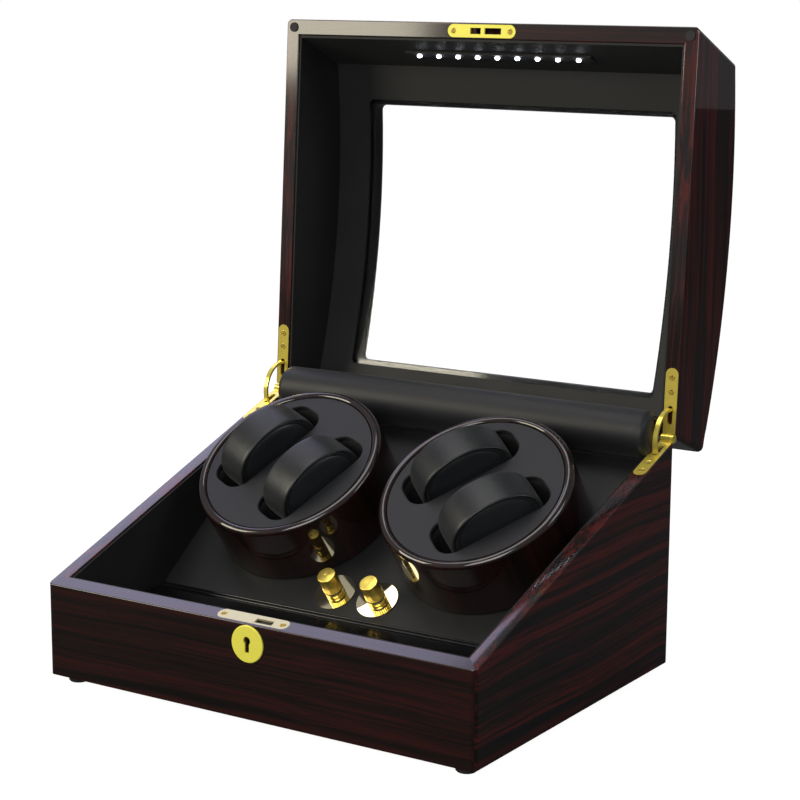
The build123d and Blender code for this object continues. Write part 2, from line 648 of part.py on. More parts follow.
with BuildPart() as escutcheon:
    with BuildSketch(front_view(box)):
        with Locations((0, KEY_HEIGHT - ESCUTCHEON_DROP)):
            Circle(ESCUTCHEON_RADIUS)
    extrude(amount=ESCUTCHEON)
    fillet(escutcheon.edges().group_by(Axis.Y)[0], 0.8)
    with BuildSketch(front_view(box)):
        with Locations((0, KEY_HEIGHT)):
            add(key_hole_sketch())
    extrude(amount=ESCUTCHEON, mode=Mode.SUBTRACT)
escutcheon.part.label = "escutcheon"
export_step(escutcheon.part, "parts/escutcheon.step")

with BuildPart() as lock_barrel:
    with BuildSketch(key_plane.offset(HOOK_THICK / 2)):
        with Locations((0, KEY_HEIGHT)):
            Circle(BARREL_RADIUS)
    extrude(amount=WALL / 2 - HOOK_THICK / 2 - CLEAR)
    with BuildSketch(front_view(box)):
        with Locations((0, KEY_HEIGHT)):
            Rectangle(2, 2 * BARREL_RADIUS - 1.5)
    extrude(amount=-WALL / 2 + HOOK_THICK / 2 + 1, mode=Mode.SUBTRACT)
    with BuildSketch(key_plane.offset(HOOK_THICK / 2)):
        with Locations((0, KEY_HEIGHT)):
            Circle(3)
    extrude(amount=-HOOK_THICK - HOOK_PLAY - CASE_SKIN)
lock_barrel.part.label = "lock_barrel"
export_step(lock_barrel.part, "parts/lock_barrel.step")

hook_start = HOOK_ARC[0] - HOOK_TURN
with BuildPart() as lock_hook:
    with BuildSketch(key_plane.offset(-HOOK_THICK / 2)):
        with Locations((0, KEY_HEIGHT)):
            Circle(HUB_RADIUS)
            add(arc_band(HOOK_INNER, HOOK_OUTER, hook_start, HOOK_ARC[1]))
            add(arc_band(4.5, HOOK_INNER + 0.5, hook_start, 10))
            Circle(3, mode=Mode.SUBTRACT)
    extrude(amount=HOOK_THICK)
lock_hook.part.label = "lock_hook"
export_step(lock_hook.part, "parts/lock_hook.step")

# ---------------------------------------------------------------- screws of the base and of the lid
with BuildPart() as base_screws:
    add(screws(base_rim, hinge_spots + plate_spots))
    add(screws(foot_screw_plane, foot_spots, 1))
base_screws.part.label = "base_screws"
export_step(base_screws.part, "parts/base_screws.step")

with BuildPart() as lid_screws:
    add(screws(lid_rim, hinge_spots + plate_spots, 1))
lid_screws.part.label = "lid_screws"
export_step(lid_screws.part, "parts/lid_screws.step")

# ---------------------------------------------------------------- base: floor, feet, linings, deck
with BuildPart() as base_bottom_panel:
    with BuildSketch(box):
        with Locations((0, DEPTH / 2)):
            Rectangle(WIDTH - 2 * WALL - LET_IN, DEPTH - 2 * WALL - LET_IN)
    extrude(amount=BOTTOM_BOARD)
    add(base_screw_seats, mode=Mode.SUBTRACT)
base_bottom_panel.part.label = "base_bottom_panel"
export_step(base_bottom_panel.part, "parts/base_bottom_panel.step")

with BuildPart() as rubber_feet:
    with BuildSketch(box):
        with Locations(*foot_spots):
            Circle(FOOT_RADIUS)
    extrude(amount=-FOOT_HEIGHT)
    chamfer(rubber_feet.edges().group_by(Axis.Z)[0], 1)
    with BuildSketch(foot_screw_plane):
        with Locations(*foot_spots):
            Circle(HEAD_RADIUS + 1)
    extrude(amount=-FOOT_HEIGHT, mode=Mode.SUBTRACT)
    add(base_screw_seats, mode=Mode.SUBTRACT)
rubber_feet.part.label = "rubber_feet"
export_step(rubber_feet.part, "parts/rubber_feet.step")

with BuildPart() as base_wall_lining:
    add(inside(box, 0, BOTTOM_BOARD, BACK_HEIGHT))
    add(inside(box, LINING, BOTTOM_BOARD - 1, BACK_HEIGHT + 1), mode=Mode.SUBTRACT)
    split(bisect_by=base_rim.offset(-LINING_SETBACK), keep=Keep.BOTTOM)
    with BuildSketch(front_view(box, DEPTH)):
        with Locations((JACK_X, JACK_Z)):
            Circle(JACK_BARREL + 0.1)
    extrude(amount=2 * WALL, mode=Mode.SUBTRACT)
base_wall_lining.part.label = "base_wall_lining"
export_step(base_wall_lining.part, "parts/base_wall_lining.step")

AXIS_FOOT_Y = DRUM_FACE_Y + (DRUM_HEIGHT + DRUM_LIFT) * sin(radians(TILT))
AXIS_FOOT_Z = DRUM_FACE_Z - (DRUM_HEIGHT + DRUM_LIFT) * cos(radians(TILT))
deck_top = tilted(box, AXIS_FOOT_Y, AXIS_FOOT_Z, TILT)
DECK_EDGE_Y = AXIS_FOOT_Y - DECK_REACH * cos(radians(TILT))
DECK_EDGE_Z = AXIS_FOOT_Z - DECK_REACH * sin(radians(TILT))
axis_spots = [(side * DRUM_X, 0) for side in SIDES.values()]
knob_spots = [(side * KNOB_X, -KNOB_REACH) for side in SIDES.values()]
SWITCH_BUSH = 4.5
DECK_GAP = 0.2
with BuildPart() as deck_board:
    with BuildSketch(deck_top):
        with Locations((0, DEPTH / 2 - DECK_REACH)):
            Rectangle(WIDTH, DEPTH)
        with Locations(*axis_spots):
            Circle(BUSH_RADIUS + 0.05, mode=Mode.SUBTRACT)
        with Locations(*knob_spots):
            Circle(SWITCH_BUSH + 0.05, mode=Mode.SUBTRACT)
    extrude(amount=-DECK_BOARD)
    add(inside(box, LINING + DECK_GAP, 0, BACK_HEIGHT), mode=Mode.INTERSECT)
deck_board.part.label = "deck_board"
export_step(deck_board.part, "parts/deck_board.step")

with BuildPart() as front_shelf:
    with BuildSketch(box.offset(DECK_EDGE_Z)):
        with Locations((0, (WALL + LINING + DECK_EDGE_Y) / 2)):
            Rectangle(
                WIDTH - 2 * (WALL + LINING + DECK_GAP),
                DECK_EDGE_Y - WALL - LINING - 2 * DECK_GAP,
            )
    extrude(amount=-DECK_BOARD)
front_shelf.part.label = "front_shelf"
export_step(front_shelf.part, "parts/front_shelf.step")

BATTEN = 12.0
BATTEN_X = WIDTH / 2 - WALL - LINING - BATTEN / 2
with BuildPart() as deck_battens:
    for side in SIDES.values():
        with BuildSketch(deck_top.offset(-DECK_BOARD)):
            with Locations((side * BATTEN_X, 0)):
                Rectangle(BATTEN, 1.5 * DECK_REACH)
        extrude(amount=-BATTEN)
        with BuildSketch(box.offset(DECK_EDGE_Z - DECK_BOARD)):
            with Locations((side * BATTEN_X, DECK_EDGE_Y / 2)):
                Rectangle(BATTEN, DECK_EDGE_Y - 3 * BATTEN)
        extrude(amount=-BATTEN)
deck_battens.part.label = "deck_battens"
export_step(deck_battens.part, "parts/deck_battens.step")

BOLSTER_BACK = DEPTH - WALL - LINING - 2.0
with BuildPart() as rear_bolster:
    with BuildSketch(side_view(box)):
        with Locations((BOLSTER_BACK, BOLSTER_RISE)):
            Circle(BOLSTER_RADIUS)
        with Locations((BOLSTER_BACK + BOLSTER_RADIUS, BOLSTER_RISE)):
            Rectangle(2 * BOLSTER_RADIUS, 2 * BOLSTER_RADIUS, mode=Mode.SUBTRACT)
        with Locations((BOLSTER_BACK + 1, BOLSTER_RISE - BOLSTER_RADIUS + 3.5)):
            Rectangle(2, 7)
    extrude(amount=WIDTH / 2 - WALL - LINING - 1, both=True)
rear_bolster.part.label = "rear_bolster"
export_step(rear_bolster.part, "parts/rear_bolster.step")

# ---------------------------------------------------------------- turntables
LEDGE = INSERT_SETBACK + INSERT
FLANGE_RADIUS = 20.0
FLANGE = 2.5
GEAR_TOP = 9.0  # below the deck's face
SHAFT_END = 18.0
WELL_FLOOR = INSERT_SETBACK + PILLOW_SINK + PILLOW_HEIGHT / 2 + CLEAR
PRESSURE = radians(20)


def gear_face(teeth):
    """An involute gear's flat shape: a root circle and one tooth repeated around it."""
    pitch = GEAR_MODULE * teeth / 2
    base = pitch * cos(PRESSURE)
    tip = pitch + GEAR_MODULE
    root = pitch - 1.25 * GEAR_MODULE
    start = max(base, root)
    half = pi / (2 * teeth) - GEAR_BACKLASH / (2 * pitch) + tan(PRESSURE) - PRESSURE
    flank = []
    for step in range(5):
        radius = start + (tip - start) * step / 4
        roll = sqrt(max(radius**2 / base**2 - 1, 0))
        angle = half - (roll - atan2(roll, 1))
        flank.append((radius, angle))
    flank.insert(0, (root - 0.3, flank[0][1]))
    upper = [(radius * cos(angle), radius * sin(angle)) for radius, angle in flank]
    lower = [(x, -y) for x, y in reversed(upper)]
    with BuildSketch() as face:
        Circle(root)
        with PolarLocations(0, teeth):
            Polygon(*upper, *lower, align=None)
    return face.sketch


big_gear = gear_face(GEAR_TEETH)
small_gear = gear_face(PINION_TEETH)
CENTRE_DISTANCE = GEAR_MODULE * (GEAR_TEETH + PINION_TEETH) / 2
pinion_spots = {name: (side * (DRUM_X - CENTRE_DISTANCE), 0) for name, side in SIDES.items()}

for name, side in SIDES.items():
    face = tilted(box, DRUM_FACE_Y, DRUM_FACE_Z, TILT, side * DRUM_X)
    with BuildPart() as drum_shell:
        with BuildSketch(face):
            Circle(DRUM_RADIUS)
        extrude(amount=-DRUM_HEIGHT)
        with BuildSketch(face):
            Circle(INSERT_RADIUS + DECK_GAP)
        extrude(amount=-LEDGE, mode=Mode.SUBTRACT)
        fillet(drum_shell.faces().filter_by(face).sort_by(Axis(face.origin, face.z_dir))[-1].edges(), 2.4)
        with BuildSketch(face):
            Circle(DRUM_INNER_RADIUS)
        extrude(amount=DRUM_FLOOR - DRUM_HEIGHT, mode=Mode.SUBTRACT)
        with BuildSketch(face.offset(-DRUM_HEIGHT)):
            Circle(FLANGE_RADIUS + 0.1)
        extrude(amount=FLANGE, mode=Mode.SUBTRACT)
    drum_shell.part.label = f"drum_shell_{name}"
    export_step(drum_shell.part, f"parts/drum_shell_{name}.step")

    turn = radians(DRUM_TURN[name])
    turned = Plane(
        origin=face.origin, x_dir=face.x_dir * cos(turn) + face.y_dir * sin(turn), z_dir=face.z_dir
    )
    slot_spots = [(0, SLOT_OFFSET), (0, -SLOT_OFFSET)]
    with BuildPart() as drum_insert:
        with BuildSketch(turned.offset(-INSERT_SETBACK)):
            Circle(INSERT_RADIUS)
        extrude(amount=-INSERT)
        with BuildSketch(turned.offset(-INSERT_SETBACK)):
            with Locations(*slot_spots):
                RectangleRounded(
                    SLOT_LENGTH + 2 * WELL_WALL,
                    SLOT_WIDTH + 2 * WELL_WALL,
                    SLOT_CORNER + WELL_WALL,
                )
        extrude(amount=INSERT_SETBACK - WELL_FLOOR - WELL_WALL)
        with BuildSketch(turned):
            with Locations(*slot_spots):
                RectangleRounded(SLOT_LENGTH, SLOT_WIDTH, SLOT_CORNER)
        extrude(amount=-WELL_FLOOR, mode=Mode.SUBTRACT)
    drum_insert.part.label = f"drum_insert_{name}"
    export_step(drum_insert.part, f"parts/drum_insert_{name}.step")

    for number, spot in enumerate(slot_spots, start=1):
        middle = turned.offset(-INSERT_SETBACK - PILLOW_SINK)
        with BuildPart() as pillow:
            with BuildSketch(front_view(middle, spot[1])):
                Ellipse(PILLOW_LENGTH / 2, PILLOW_HEIGHT / 2)
            extrude(amount=PILLOW_WIDTH / 2, both=True)
            fillet(pillow.edges(), 2.5)
        pillow.part.label = f"pillow_{name}_{number}"
        export_step(pillow.part, f"parts/pillow_{name}_{number}.step")

    deck_here = Plane(
        origin=deck_top.from_local_coords(Vector(side * DRUM_X, 0, 0)),
        x_dir=deck_top.x_dir,
        z_dir=deck_top.z_dir,
    )
    with BuildPart() as turntable_shaft:
        with BuildSketch(face.offset(-DRUM_HEIGHT)):
            Circle(FLANGE_RADIUS)
        extrude(amount=FLANGE)
        with BuildSketch(deck_here.offset(DRUM_LIFT)):
            Circle(SHAFT_RADIUS)
        extrude(amount=-DRUM_LIFT - SHAFT_END)
    turntable_shaft.part.label = f"turntable_shaft_{name}"
    export_step(turntable_shaft.part, f"parts/turntable_shaft_{name}.step")

    with BuildPart() as turntable_gear:
        with BuildSketch(deck_here.offset(-GEAR_TOP)):
            add(big_gear)
            Circle(SHAFT_RADIUS, mode=Mode.SUBTRACT)
            with PolarLocations(GEAR_TEETH * GEAR_MODULE / 3.4, 6):
                Circle(5, mode=Mode.SUBTRACT)
        extrude(amount=-GEAR_WIDTH)
    turntable_gear.part.label = f"turntable_gear_{name}"
    export_step(turntable_gear.part, f"parts/turntable_gear_{name}.step")

    # The first tooth of the gear points at the pinion, which turns a gap to it.
    pinion_at = Plane(
        origin=deck_top.from_local_coords(Vector(*pinion_spots[name], 0)),
        x_dir=deck_top.x_dir * -side,
        z_dir=deck_top.z_dir,
    )
    with BuildPart() as drive_pinion:
        with BuildSketch(pinion_at.offset(-GEAR_TOP + 0.5)):
            add(small_gear)
        extrude(amount=-GEAR_WIDTH - 1)
        with BuildSketch(pinion_at.offset(-GEAR_TOP + 0.5)):
            Circle(MOTOR_SHAFT_RADIUS)
        extrude(amount=GEAR_TOP - 0.5 - 25)
    drive_pinion.part.label = f"drive_pinion_{name}"
    export_step(drive_pinion.part, f"parts/drive_pinion_{name}.step")

# ---------------------------------------------------------------- bushes, motors and their brackets
BUSH_PROUD = DRUM_LIFT - CLEAR
with BuildPart() as shaft_bushes:
    with BuildSketch(deck_top.offset(BUSH_PROUD)):
        with Locations(*axis_spots):
            Circle(BUSH_RADIUS)
    extrude(amount=-BUSH_PROUD - DECK_BOARD)
    with BuildSketch(deck_top.offset(-DECK_BOARD)):
        with Locations(*axis_spots):
            Circle(BUSH_FLANGE)
    extrude(amount=DECK_BOARD + CLEAR - GEAR_TOP)
    with BuildSketch(deck_top.offset(BUSH_PROUD)):
        with Locations(*axis_spots):
            Circle(SHAFT_RADIUS + RUNNING_FIT)
    extrude(amount=-BUSH_PROUD - GEAR_TOP, mode=Mode.SUBTRACT)
shaft_bushes.part.label = "shaft_bushes"
export_step(shaft_bushes.part, "parts/shaft_bushes.step")

BRACKET_TOP = SHAFT_END - 1
GEARBOX_TOP = BRACKET_TOP + BRACKET
motor_spots = list(pinion_spots.values())
PILLAR_RADIUS = 3.0
with BuildPart() as motor_brackets:
    for side in SIDES.values():
        middle = side * (DRUM_X - CENTRE_DISTANCE)
        pillars = [(middle - side * 20, 16), (middle - side * 20, -16), (middle, 28), (middle, -28)]
        with BuildSketch(deck_top.offset(-BRACKET_TOP)):
            with Locations((middle - side * 3, 0)):
                RectangleRounded(44, 64, 4)
            with Locations((middle, 0)):
                Circle(MOTOR_SHAFT_RADIUS + 2, mode=Mode.SUBTRACT)
        extrude(amount=-BRACKET)
        with BuildSketch(deck_top.offset(-DECK_BOARD)):
            with Locations(*pillars):
                Circle(PILLAR_RADIUS)
        extrude(amount=DECK_BOARD - BRACKET_TOP)
motor_brackets.part.label = "motor_brackets"
export_step(motor_brackets.part, "parts/motor_brackets.step")

with BuildPart() as gearboxes:
    with BuildSketch(deck_top.offset(-GEARBOX_TOP)):
        with Locations(*motor_spots):
            Circle(GEARBOX_RADIUS)
    extrude(amount=-GEARBOX_HEIGHT)
    with BuildSketch(deck_top.offset(-GEARBOX_TOP)):
        with Locations(*motor_spots):
            Circle(MOTOR_SHAFT_RADIUS + RUNNING_FIT)
    extrude(amount=-8, mode=Mode.SUBTRACT)
gearboxes.part.label = "gearboxes"
export_step(gearboxes.part, "parts/gearboxes.step")

with BuildPart() as motor_cans:
    with BuildSketch(deck_top.offset(-GEARBOX_TOP - GEARBOX_HEIGHT)):
        with Locations(*motor_spots):
            Circle(MOTOR_RADIUS)
    extrude(amount=-MOTOR_HEIGHT)
motor_cans.part.label = "motor_cans"
export_step(motor_cans.part, "parts/motor_cans.step")

# ---------------------------------------------------------------- selector knobs and their switches
KNOB_LOW = BEZEL + CLEAR
KNOB_SHAFT = 3.0
SWITCH_SIZE = 16.0
SWITCH_DEPTH = 12.0
with BuildPart() as knob_bezels:
    with BuildSketch(deck_top):
        with Locations(*knob_spots):
            Circle(BEZEL_RADIUS)
            Circle(SWITCH_BUSH + 0.05, mode=Mode.SUBTRACT)
    extrude(amount=BEZEL)
knob_bezels.part.label = "knob_bezels"
export_step(knob_bezels.part, "parts/knob_bezels.step")

with BuildPart() as selector_switches:
    with BuildSketch(deck_top.offset(-DECK_BOARD)):
        with Locations(*knob_spots):
            Rectangle(SWITCH_SIZE, SWITCH_SIZE)
    extrude(amount=-SWITCH_DEPTH)
    with BuildSketch(deck_top.offset(-DECK_BOARD)):
        with Locations(*knob_spots):
            Circle(SWITCH_BUSH)
    extrude(amount=DECK_BOARD + BEZEL)
    with BuildSketch(deck_top.offset(BEZEL)):
        with Locations(*knob_spots):
            Circle(KNOB_SHAFT + RUNNING_FIT)
    extrude(amount=-DECK_BOARD - BEZEL - SWITCH_DEPTH / 2, mode=Mode.SUBTRACT)
selector_switches.part.label = "selector_switches"
export_step(selector_switches.part, "parts/selector_switches.step")

FLUTES = 30
for name, side in SIDES.items():
    knob_here = Plane(
        origin=deck_top.from_local_coords(Vector(side * KNOB_X, -KNOB_REACH, 0)),
        x_dir=deck_top.x_dir,
        z_dir=deck_top.z_dir,
    )
    with BuildPart() as knob:
        with BuildSketch(knob_here.offset(KNOB_LOW)):
            Circle(KNOB_RADIUS)
        extrude(amount=KNOB_HEIGHT)
        fillet(knob.edges().sort_by(Axis(knob_here.origin, knob_here.z_dir))[-1], 0.8)
        with BuildSketch(knob_here.offset(KNOB_LOW + 4)):
            with PolarLocations(KNOB_RADIUS + 0.2, FLUTES):
                Circle(0.5)
        extrude(amount=KNOB_HEIGHT - 7, mode=Mode.SUBTRACT)
        with BuildSketch(knob_here.offset(KNOB_LOW)):
            Circle(KNOB_SHAFT)
        extrude(amount=-KNOB_LOW - DECK_BOARD - SWITCH_DEPTH / 2 + 1)
    knob.part.label = f"knob_{name}"
    export_step(knob.part, f"parts/knob_{name}.step")

# ---------------------------------------------------------------- control board and power inlet
BOARD_HEIGHT = 5.0
BOARD_CENTRE_Y = 188.0
board_plane = Plane(
    origin=box.from_local_coords(Vector(0, BOARD_CENTRE_Y, BOTTOM_BOARD + BOARD_HEIGHT)),
    x_dir=(1, 0, 0),
    z_dir=(0, 0, 1),
)
with BuildPart() as control_board:
    with BuildSketch(board_plane):
        Rectangle(BOARD_X, BOARD_Y)
    extrude(amount=1.6)
    with BuildSketch(board_plane):
        with GridLocations(BOARD_X - 10, BOARD_Y - 10, 2, 2):
            Circle(2.5)
    extrude(amount=-BOARD_HEIGHT)
    with BuildSketch(board_plane.offset(1.6)):
        with Locations((-8, 2)):
            Rectangle(14, 10)
        with Locations((22, -4)):
            Rectangle(8, 8)
    extrude(amount=2)
    with BuildSketch(board_plane.offset(1.6)):
        with Locations((-34, 10), (-34, -10)):
            Circle(5)
        with Locations((38, 0)):
            Rectangle(8, 26)
    extrude(amount=9)
control_board.part.label = "control_board"
export_step(control_board.part, "parts/control_board.step")

jack_plane = front_view(box, DEPTH)
with BuildPart() as dc_jack:
    with BuildSketch(jack_plane):
        with Locations((JACK_X, JACK_Z)):
            Circle(JACK_BARREL + 2.5)
    extrude(amount=-1.2)
    with BuildSketch(jack_plane):
        with Locations((JACK_X, JACK_Z)):
            Circle(JACK_BARREL)
    extrude(amount=WALL + LINING + 12)
    with BuildSketch(front_view(box, DEPTH - WALL - LINING)):
        with Locations((JACK_X, JACK_Z)):
            RegularPolygon(JACK_BARREL + 3, 6)
    extrude(amount=2.5)
    with BuildSketch(jack_plane.offset(-1.2)):
        with Locations((JACK_X, JACK_Z)):
            Circle(JACK_RADIUS)
            Circle(1, mode=Mode.SUBTRACT)
    extrude(amount=11, mode=Mode.SUBTRACT)
dc_jack.part.label = "dc_jack"
export_step(dc_jack.part, "parts/dc_jack.step")
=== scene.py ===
# %% [markdown]
# A watch winder box, finished.
# The construction model gives every board, hinge, drum and screw at its real size.
# This lesson dresses it: piano lacquer over a striped ebony veneer, black leatherette, polished gold
# hardware, watch pillows that look sewn and stuffed, and a plain pale studio around it.
# The construction pieces are never moved.  Where one is too plain, a surface worked out with numpy
# takes its place and rides on the same moving body.

import json
import math

import bmesh
import bpy
import numpy as np
from mathutils import Matrix, Vector


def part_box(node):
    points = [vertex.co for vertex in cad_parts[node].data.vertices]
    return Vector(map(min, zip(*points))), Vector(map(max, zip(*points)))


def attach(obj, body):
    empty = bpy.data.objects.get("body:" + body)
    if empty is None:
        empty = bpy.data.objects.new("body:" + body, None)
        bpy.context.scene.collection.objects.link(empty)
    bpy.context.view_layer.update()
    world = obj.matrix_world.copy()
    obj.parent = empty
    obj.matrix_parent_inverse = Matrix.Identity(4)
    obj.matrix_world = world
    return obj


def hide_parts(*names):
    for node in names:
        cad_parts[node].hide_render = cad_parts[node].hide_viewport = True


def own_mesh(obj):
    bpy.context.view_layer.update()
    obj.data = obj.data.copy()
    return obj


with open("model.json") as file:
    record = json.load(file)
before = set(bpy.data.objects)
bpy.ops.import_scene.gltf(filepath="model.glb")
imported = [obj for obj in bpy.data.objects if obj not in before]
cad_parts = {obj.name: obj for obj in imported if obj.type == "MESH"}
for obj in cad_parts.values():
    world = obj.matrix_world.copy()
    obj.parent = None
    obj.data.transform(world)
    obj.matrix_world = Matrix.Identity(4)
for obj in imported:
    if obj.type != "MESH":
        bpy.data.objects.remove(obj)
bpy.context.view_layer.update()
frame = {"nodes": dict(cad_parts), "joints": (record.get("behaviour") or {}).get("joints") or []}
nodes = frame["nodes"]


# %% [markdown]
# Everything is placed from the frame.  A turned drum's axis is its joint's axis, and the middle of a
# node's box is the middle of a round or symmetric piece, so no place has to be typed in.

# %% Places read from the frame
MM = 0.001
SIDES = {"left": -1.0, "right": 1.0}
QUARTER = math.pi / 2
SAME_POINT = 1e-6  # points nearer than this, in metres, are one point
joints = {joint["name"]: joint for joint in frame["joints"]}
UP = np.array(joints["turntable_left_spin"]["axis"], float)
UP /= np.linalg.norm(UP)
ACROSS = np.array([1.0, 0.0, 0.0])
SLOPEWARD = np.cross(UP, ACROSS)
FRONT_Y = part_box("base_front_panel")[0].y
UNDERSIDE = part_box("base_front_panel")[0].z


def middle(node):
    """The middle of a node's box, as an array in metres."""
    low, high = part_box(node)
    return (np.array(low) + np.array(high)) / 2


def points_of(mesh):
    """All of a mesh's points as an array."""
    flat = np.zeros(len(mesh.vertices) * 3)
    mesh.vertices.foreach_get("co", flat)
    return flat.reshape(-1, 3)


def turned_about_x(vector, degrees):
    """The vector turned about the x axis."""
    c, s = math.cos(math.radians(degrees)), math.sin(math.radians(degrees))
    return np.array([vector[0], vector[1] * c - vector[2] * s, vector[1] * s + vector[2] * c])


# the rims: the base's slopes from its front panel to its back panel, the lid's lies on it when shut
front_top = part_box("base_front_panel")[1]
back_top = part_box("base_back_panel")[1]
RIM_SLOPE = math.degrees(math.atan2(back_top.z - front_top.z, back_top.y - front_top.y))
BASE_RIM = turned_about_x((0.0, 0.0, 1.0), RIM_SLOPE)
LID_SWING = max(abs(limit) for limit in joints["lid_hinge"]["range_deg"])
LID_RIM = turned_about_x(-BASE_RIM, -LID_SWING)
BASE_RIM_LEVEL = float((points_of(nodes["base_right_panel"].data) @ BASE_RIM).max())
LID_RIM_LEVEL = float((points_of(nodes["lid_right_panel"].data) @ LID_RIM).max())
print("deck normal", UP.round(3), "base rim", BASE_RIM.round(3), "lid rim", LID_RIM.round(3))

# %% [markdown]
# A new piece is a grid of points: two parameters run over it, and neighbouring points are joined by
# four-sided faces.  A closed direction joins its last row to its first.  An end that comes together in
# one point is merged, so that no pinhole is left there.

# %% From a grid of points to a mesh


def surface(name, points, around=False, uv=(1.0, 1.0), ends=False):
    """Makes a mesh from points[i, j] = (x, y, z): faces join i to i+1 and j to j+1.

    around joins the last j to the first.  ends fills the first and the last row with one face each.
    uv stretches the map, which runs from 0 to uv over each parameter.
    """
    rows, cols = points.shape[:2]
    i, j = np.meshgrid(np.arange(rows - 1), np.arange(cols if around else cols - 1), indexing="ij")
    right = (j + 1) % cols
    faces = np.stack([i * cols + j, i * cols + right, (i + 1) * cols + right, (i + 1) * cols + j], -1)
    faces = faces.reshape(-1, 4).tolist()
    if ends:
        faces.append(list(range(cols))[::-1])
        faces.append([(rows - 1) * cols + k for k in range(cols)])
    mesh = bpy.data.meshes.new(name)
    mesh.from_pydata(points.reshape(-1, 3).tolist(), [], faces)
    steps = cols if around else cols - 1
    u = np.stack([i, i, i + 1, i + 1], -1).reshape(-1) / (rows - 1) * uv[0]
    v = np.stack([j, j + 1, j + 1, j], -1).reshape(-1) / steps * uv[1]
    flat = np.zeros((len(mesh.loops), 2))
    flat[: len(u)] = np.stack([u, v], -1)
    layer = mesh.uv_layers.new(name="Along")
    layer.data.foreach_set("uv", flat.reshape(-1))
    mesh.validate()
    piece = bpy.data.objects.new(name, mesh)
    bpy.context.scene.collection.objects.link(piece)
    close_and_turn_out(piece)
    for polygon in mesh.polygons:
        polygon.use_smooth = True
    return piece


def close_and_turn_out(piece):
    """Merges points that lie on each other, and points the faces outwards."""
    shape = bmesh.new()
    shape.from_mesh(piece.data)
    bmesh.ops.remove_doubles(shape, verts=shape.verts, dist=SAME_POINT)
    bmesh.ops.recalc_face_normals(shape, faces=shape.faces)
    shape.to_mesh(piece.data)
    shape.free()


def full_turn(steps):
    """The angles of that many steps once around."""
    return np.linspace(0, 2 * np.pi, steps, endpoint=False)


def carried_round(radius, height, angle, centre, axis):
    """centre + radius (cos(angle) a + sin(angle) b) + height axis, with a and b square to the axis."""
    side = np.cross(axis, ACROSS)
    spoke = np.cos(angle)[:, None] * ACROSS + np.sin(angle)[:, None] * side
    return centre + radius[..., None] * spoke[None] + height[..., None] * axis


def turned(name, profile, centre, axis=UP, steps=160, uv=(1.0, 1.0)):
    """A turned piece: profile[k] = (radius, height) is carried once around the axis through centre."""
    radius, height = np.asarray(profile, float).T
    points = carried_round(radius[:, None], height[:, None], full_turn(steps), centre, axis)
    return surface(name, points, around=True, uv=uv)


def bent(steps):
    """Angles over half a turn, from straight down to straight up."""
    return np.linspace(-QUARTER, QUARTER, steps)


def rounded(corners, radii, steps=8):
    """A flat line through the corners, each rounded by an arc of its own radius (0 keeps it sharp)."""
    corners = [np.asarray(corner, float) for corner in corners]
    line = [corners[0]]
    for before, here, after, radius in zip(corners, corners[1:], corners[2:], radii):
        if radius == 0:
            line.append(here)
            continue
        back = (before - here) / np.linalg.norm(before - here)
        on = (after - here) / np.linalg.norm(after - here)
        half = math.acos(np.clip(back @ on, -1, 1)) / 2
        bisector = (back + on) / np.linalg.norm(back + on)
        hub = here + bisector * radius / math.sin(half)
        start = here + back * radius / math.tan(half) - hub
        turn = np.pi - 2 * half
        sign = np.sign(back[0] * on[1] - back[1] * on[0])
        for t in np.linspace(0, -sign * turn, steps):
            c, s = math.cos(t), math.sin(t)
            line.append(hub + np.array([c * start[0] - s * start[1], s * start[0] + c * start[1]]))
    line.append(corners[-1])
    return np.array(line)


print("mesh helpers ready")

# %% [markdown]
# Every finish is a node material with one Principled shader.  A small helper keeps the node code
# readable: it makes a node, sets its inputs and joins it to others.

# %% Node helpers


